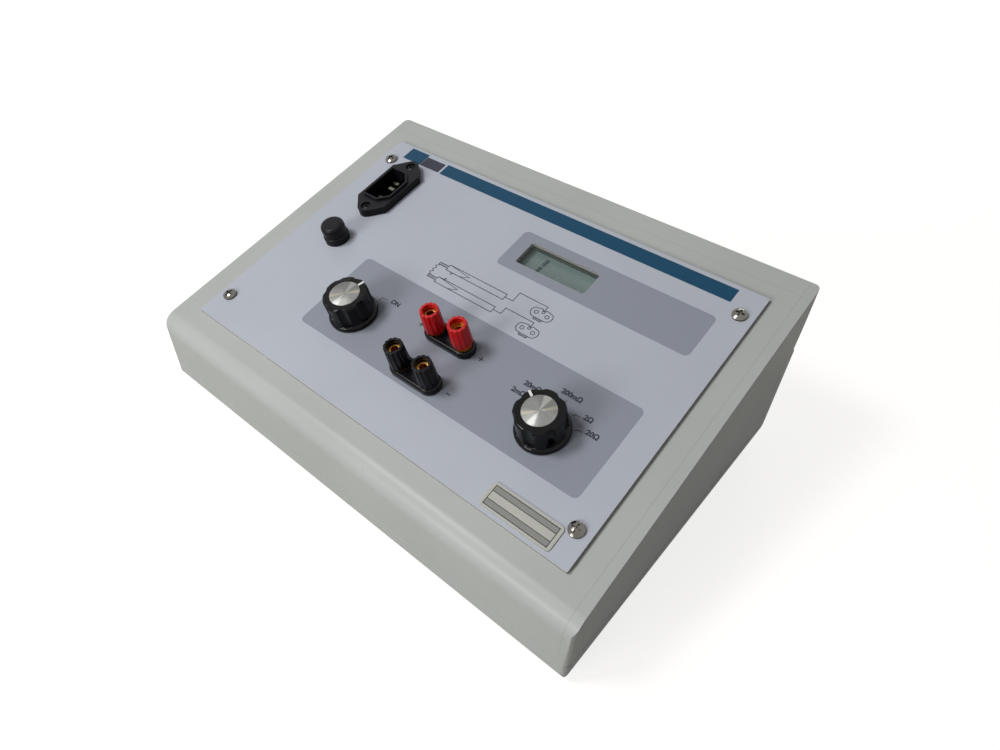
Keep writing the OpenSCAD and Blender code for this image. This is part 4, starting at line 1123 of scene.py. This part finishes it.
class OHM_OT_inside(bpy.types.Operator):
    """Finishes the boards, the transformer, the switches and the other pieces inside"""

    bl_idname = "ohmmeter.inside"
    bl_label = "Inside"

    def execute(self, context):
        green = board_finish("circuit board", tuple(context.scene.ohmmeter_colours.board))
        steel = metal("inside steel", screen(170, 170, 166), 0.36)
        brass = metal("inside brass", tuple(context.scene.ohmmeter_colours.brass), 0.32)
        dark = plastic("switch housing", screen(40, 40, 46), 0.5, 1400)
        chip = plastic("chip black", screen(30, 30, 32), 0.42, 2200)
        blue, orange = screen(30, 44, 92), screen(196, 92, 30)
        pale, cream = screen(196, 198, 200), screen(206, 204, 196)
        sleeve = sleeve_finish("capacitor sleeve", blue, pale, 2, 34 * MM, 36.5 * MM)
        cell = sleeve_finish("cell sleeve", orange, cream, 1, 72 * MM, 77 * MM)
        finishes = {
            "main_board": green,
            "display_board": green,
            "board_screws": steel,
            "display_screws": steel,
            "floor_screws": steel,
            "board_chips": chip,
            "capacitors": sleeve,
            "display_contact_strips": plastic("contact strip", screen(206, 120, 110), 0.7),
            "transformer_core": laminated_finish("core sheets"),
            "transformer_coil": wound_finish("coil tape"),
            "transformer_bracket": steel,
            "power_switch_body": dark,
            "range_switch_body": dark,
            "power_switch_shaft": brass,
            "range_switch_shaft": brass,
            "power_switch_nut": steel,
            "range_switch_nut": steel,
            "switch_terminals": metal("terminal tin", screen(186, 184, 176), 0.34),
            "battery_holder": dark,
            "battery_cells": cell,
            "battery_contacts": steel,
        }
        for node, paint in finishes.items():
            dressed(node, paint)
        return {"FINISHED"}


# Stage

# Camera: its place in metres, its axes and its focal length in millimetres
CAMERA_PLACE = Vector((0.19742, -0.22451, 0.29139))
CAMERA_RIGHT = Vector((0.7665, 0.6408, 0.0428))
CAMERA_UP = Vector((-0.4531, 0.4924, 0.7431))
CAMERA_LENS = 24.97

# Lamps: place and side in metres, power in watts, and the point that all of them face
LAMPS = (
    ("key", (-0.62, -0.72, 1.3), 0.42, 13.5),
    ("front", (-0.25, -1.3, 0.42), 0.5, 8.5),
    ("back", (-0.3, 1.4, 0.35), 0.5, 4.5),
)
AIM = Vector((0, 0, 0.05))

# How brightly the world lights the object, and how brightly the floor glows to the camera,
# with the share of that glow that shows in reflections
WORLD_LIGHT = 0.2
FLOOR_GLOW = 0.8
FLOOR_MIRRORED = 0.3
FLOOR_REACH = 12
FLOOR_TONE = (0.32, 0.3, 0.27)
WHITE = (1.0, 1.0, 1.0)


class OHM_OT_stage(bpy.types.Operator):
    """Sets up the floor, the lamps, the world and the camera"""

    bl_idname = "ohmmeter.stage"
    bl_label = "Stage"

    def execute(self, context):
        scene = context.scene
        scene.view_settings.view_transform = "Standard"
        self.camera(scene)
        self.floor()
        self.world(scene)
        for name, place, size, power in LAMPS:
            self.lamp(name, place, size, power)
        return {"FINISHED"}

    def camera(self, scene):
        lens = bpy.data.cameras.new("camera")
        lens.lens = CAMERA_LENS
        lens.sensor_width = 36
        lens.sensor_fit = "HORIZONTAL"
        camera = bpy.data.objects.new("camera", lens)
        scene.collection.objects.link(camera)
        back = CAMERA_RIGHT.cross(CAMERA_UP)
        turn = Matrix((CAMERA_RIGHT, CAMERA_UP, back)).transposed()
        camera.matrix_world = Matrix.Translation(CAMERA_PLACE) @ turn.to_4x4()
        scene.camera = camera

    def floor(self):
        bm = bmesh.new()
        bmesh.ops.create_grid(bm, x_segments=1, y_segments=1, size=FLOOR_REACH)
        mesh = bpy.data.meshes.new("floor")
        bm.to_mesh(mesh)
        bm.free()
        floor = bpy.data.objects.new("floor", mesh)
        bpy.context.scene.collection.objects.link(floor)
        mesh.materials.append(self.floor_paint().material)

    def floor_paint(self):
        """Pale floor that shows white to the camera and in reflections but keeps the shadow."""
        paint = Paint("floor")
        glow = self.seen(paint, FLOOR_MIRRORED) * FLOOR_GLOW
        paint.set(Base_Color=FLOOR_TONE, Roughness=0.9)
        paint.set(Emission_Color=WHITE, Emission_Strength=glow)
        return paint

    def seen(self, nodes, mirrored=1.0):
        """1 for rays from the camera and through glass, a share in reflections, 0 for others."""
        path = nodes.add("LightPath", {}, {}).socket.node.outputs
        kinds = ("Camera", "Transmission", "Glossy")
        straight, through, glossy = (Wire(nodes, path[f"Is {kind} Ray"]) for kind in kinds)
        return straight.larger(through).larger(glossy * mirrored)

    def world(self, scene):
        world = bpy.data.worlds.new("world")
        scene.world = world
        world.use_nodes = True
        nodes = Nodes(world.node_tree)
        strength = self.seen(nodes) * (1 - WORLD_LIGHT) + WORLD_LIGHT
        back = nodes.tree.nodes["Background"]
        nodes.feed(back.inputs["Color"], WHITE)
        nodes.feed(back.inputs["Strength"], strength)

    def lamp(self, name, place, size, power):
        light = bpy.data.lights.new(name, "AREA")
        light.shape = "SQUARE"
        light.size = size
        light.energy = power
        lamp = bpy.data.objects.new(name, light)
        bpy.context.scene.collection.objects.link(lamp)
        lamp.location = place
        lamp.rotation_euler = (AIM - Vector(place)).to_track_quat("-Z", "Y").to_euler()


OPERATORS = [
    OHM_OT_stage,
    OHM_OT_case,
    OHM_OT_panel,
    OHM_OT_fields,
    OHM_OT_marks,
    OHM_OT_serial_plate,
    OHM_OT_display,
    OHM_OT_knobs,
    OHM_OT_posts,
    OHM_OT_inlet,
    OHM_OT_fuse_holder,
    OHM_OT_fixings,
    OHM_OT_inside,
]


class OHM_PT_sidebar(bpy.types.Panel):
    """Lists the sizes, the colours and a button for each operator"""

    bl_idname = "OHM_PT_sidebar"
    bl_label = "Ohmmeter"
    bl_space_type = "VIEW_3D"
    bl_region_type = "UI"
    bl_category = "Ohmmeter"

    def draw(self, context):
        for group in (context.scene.ohmmeter_sizes, context.scene.ohmmeter_colours):
            column = self.layout.column()
            for name in group.__annotations__:
                column.prop(group, name)
        for operator in OPERATORS:
            self.layout.operator(operator.bl_idname)


CLASSES = [OHM_PG_sizes, OHM_PG_colours, *OPERATORS, OHM_PT_sidebar]


def register():
    for part in CLASSES:
        bpy.utils.register_class(part)
    bpy.types.Scene.ohmmeter_sizes = PointerProperty(type=OHM_PG_sizes)
    bpy.types.Scene.ohmmeter_colours = PointerProperty(type=OHM_PG_colours)


def unregister():
    del bpy.types.Scene.ohmmeter_colours
    del bpy.types.Scene.ohmmeter_sizes
    for part in reversed(CLASSES):
        bpy.utils.unregister_class(part)


def main():
    register()
    for operator in OPERATORS:
        group, name = operator.bl_idname.split(".")
        getattr(getattr(bpy.ops, group), name)()


if __name__ == "__main__":
    main()
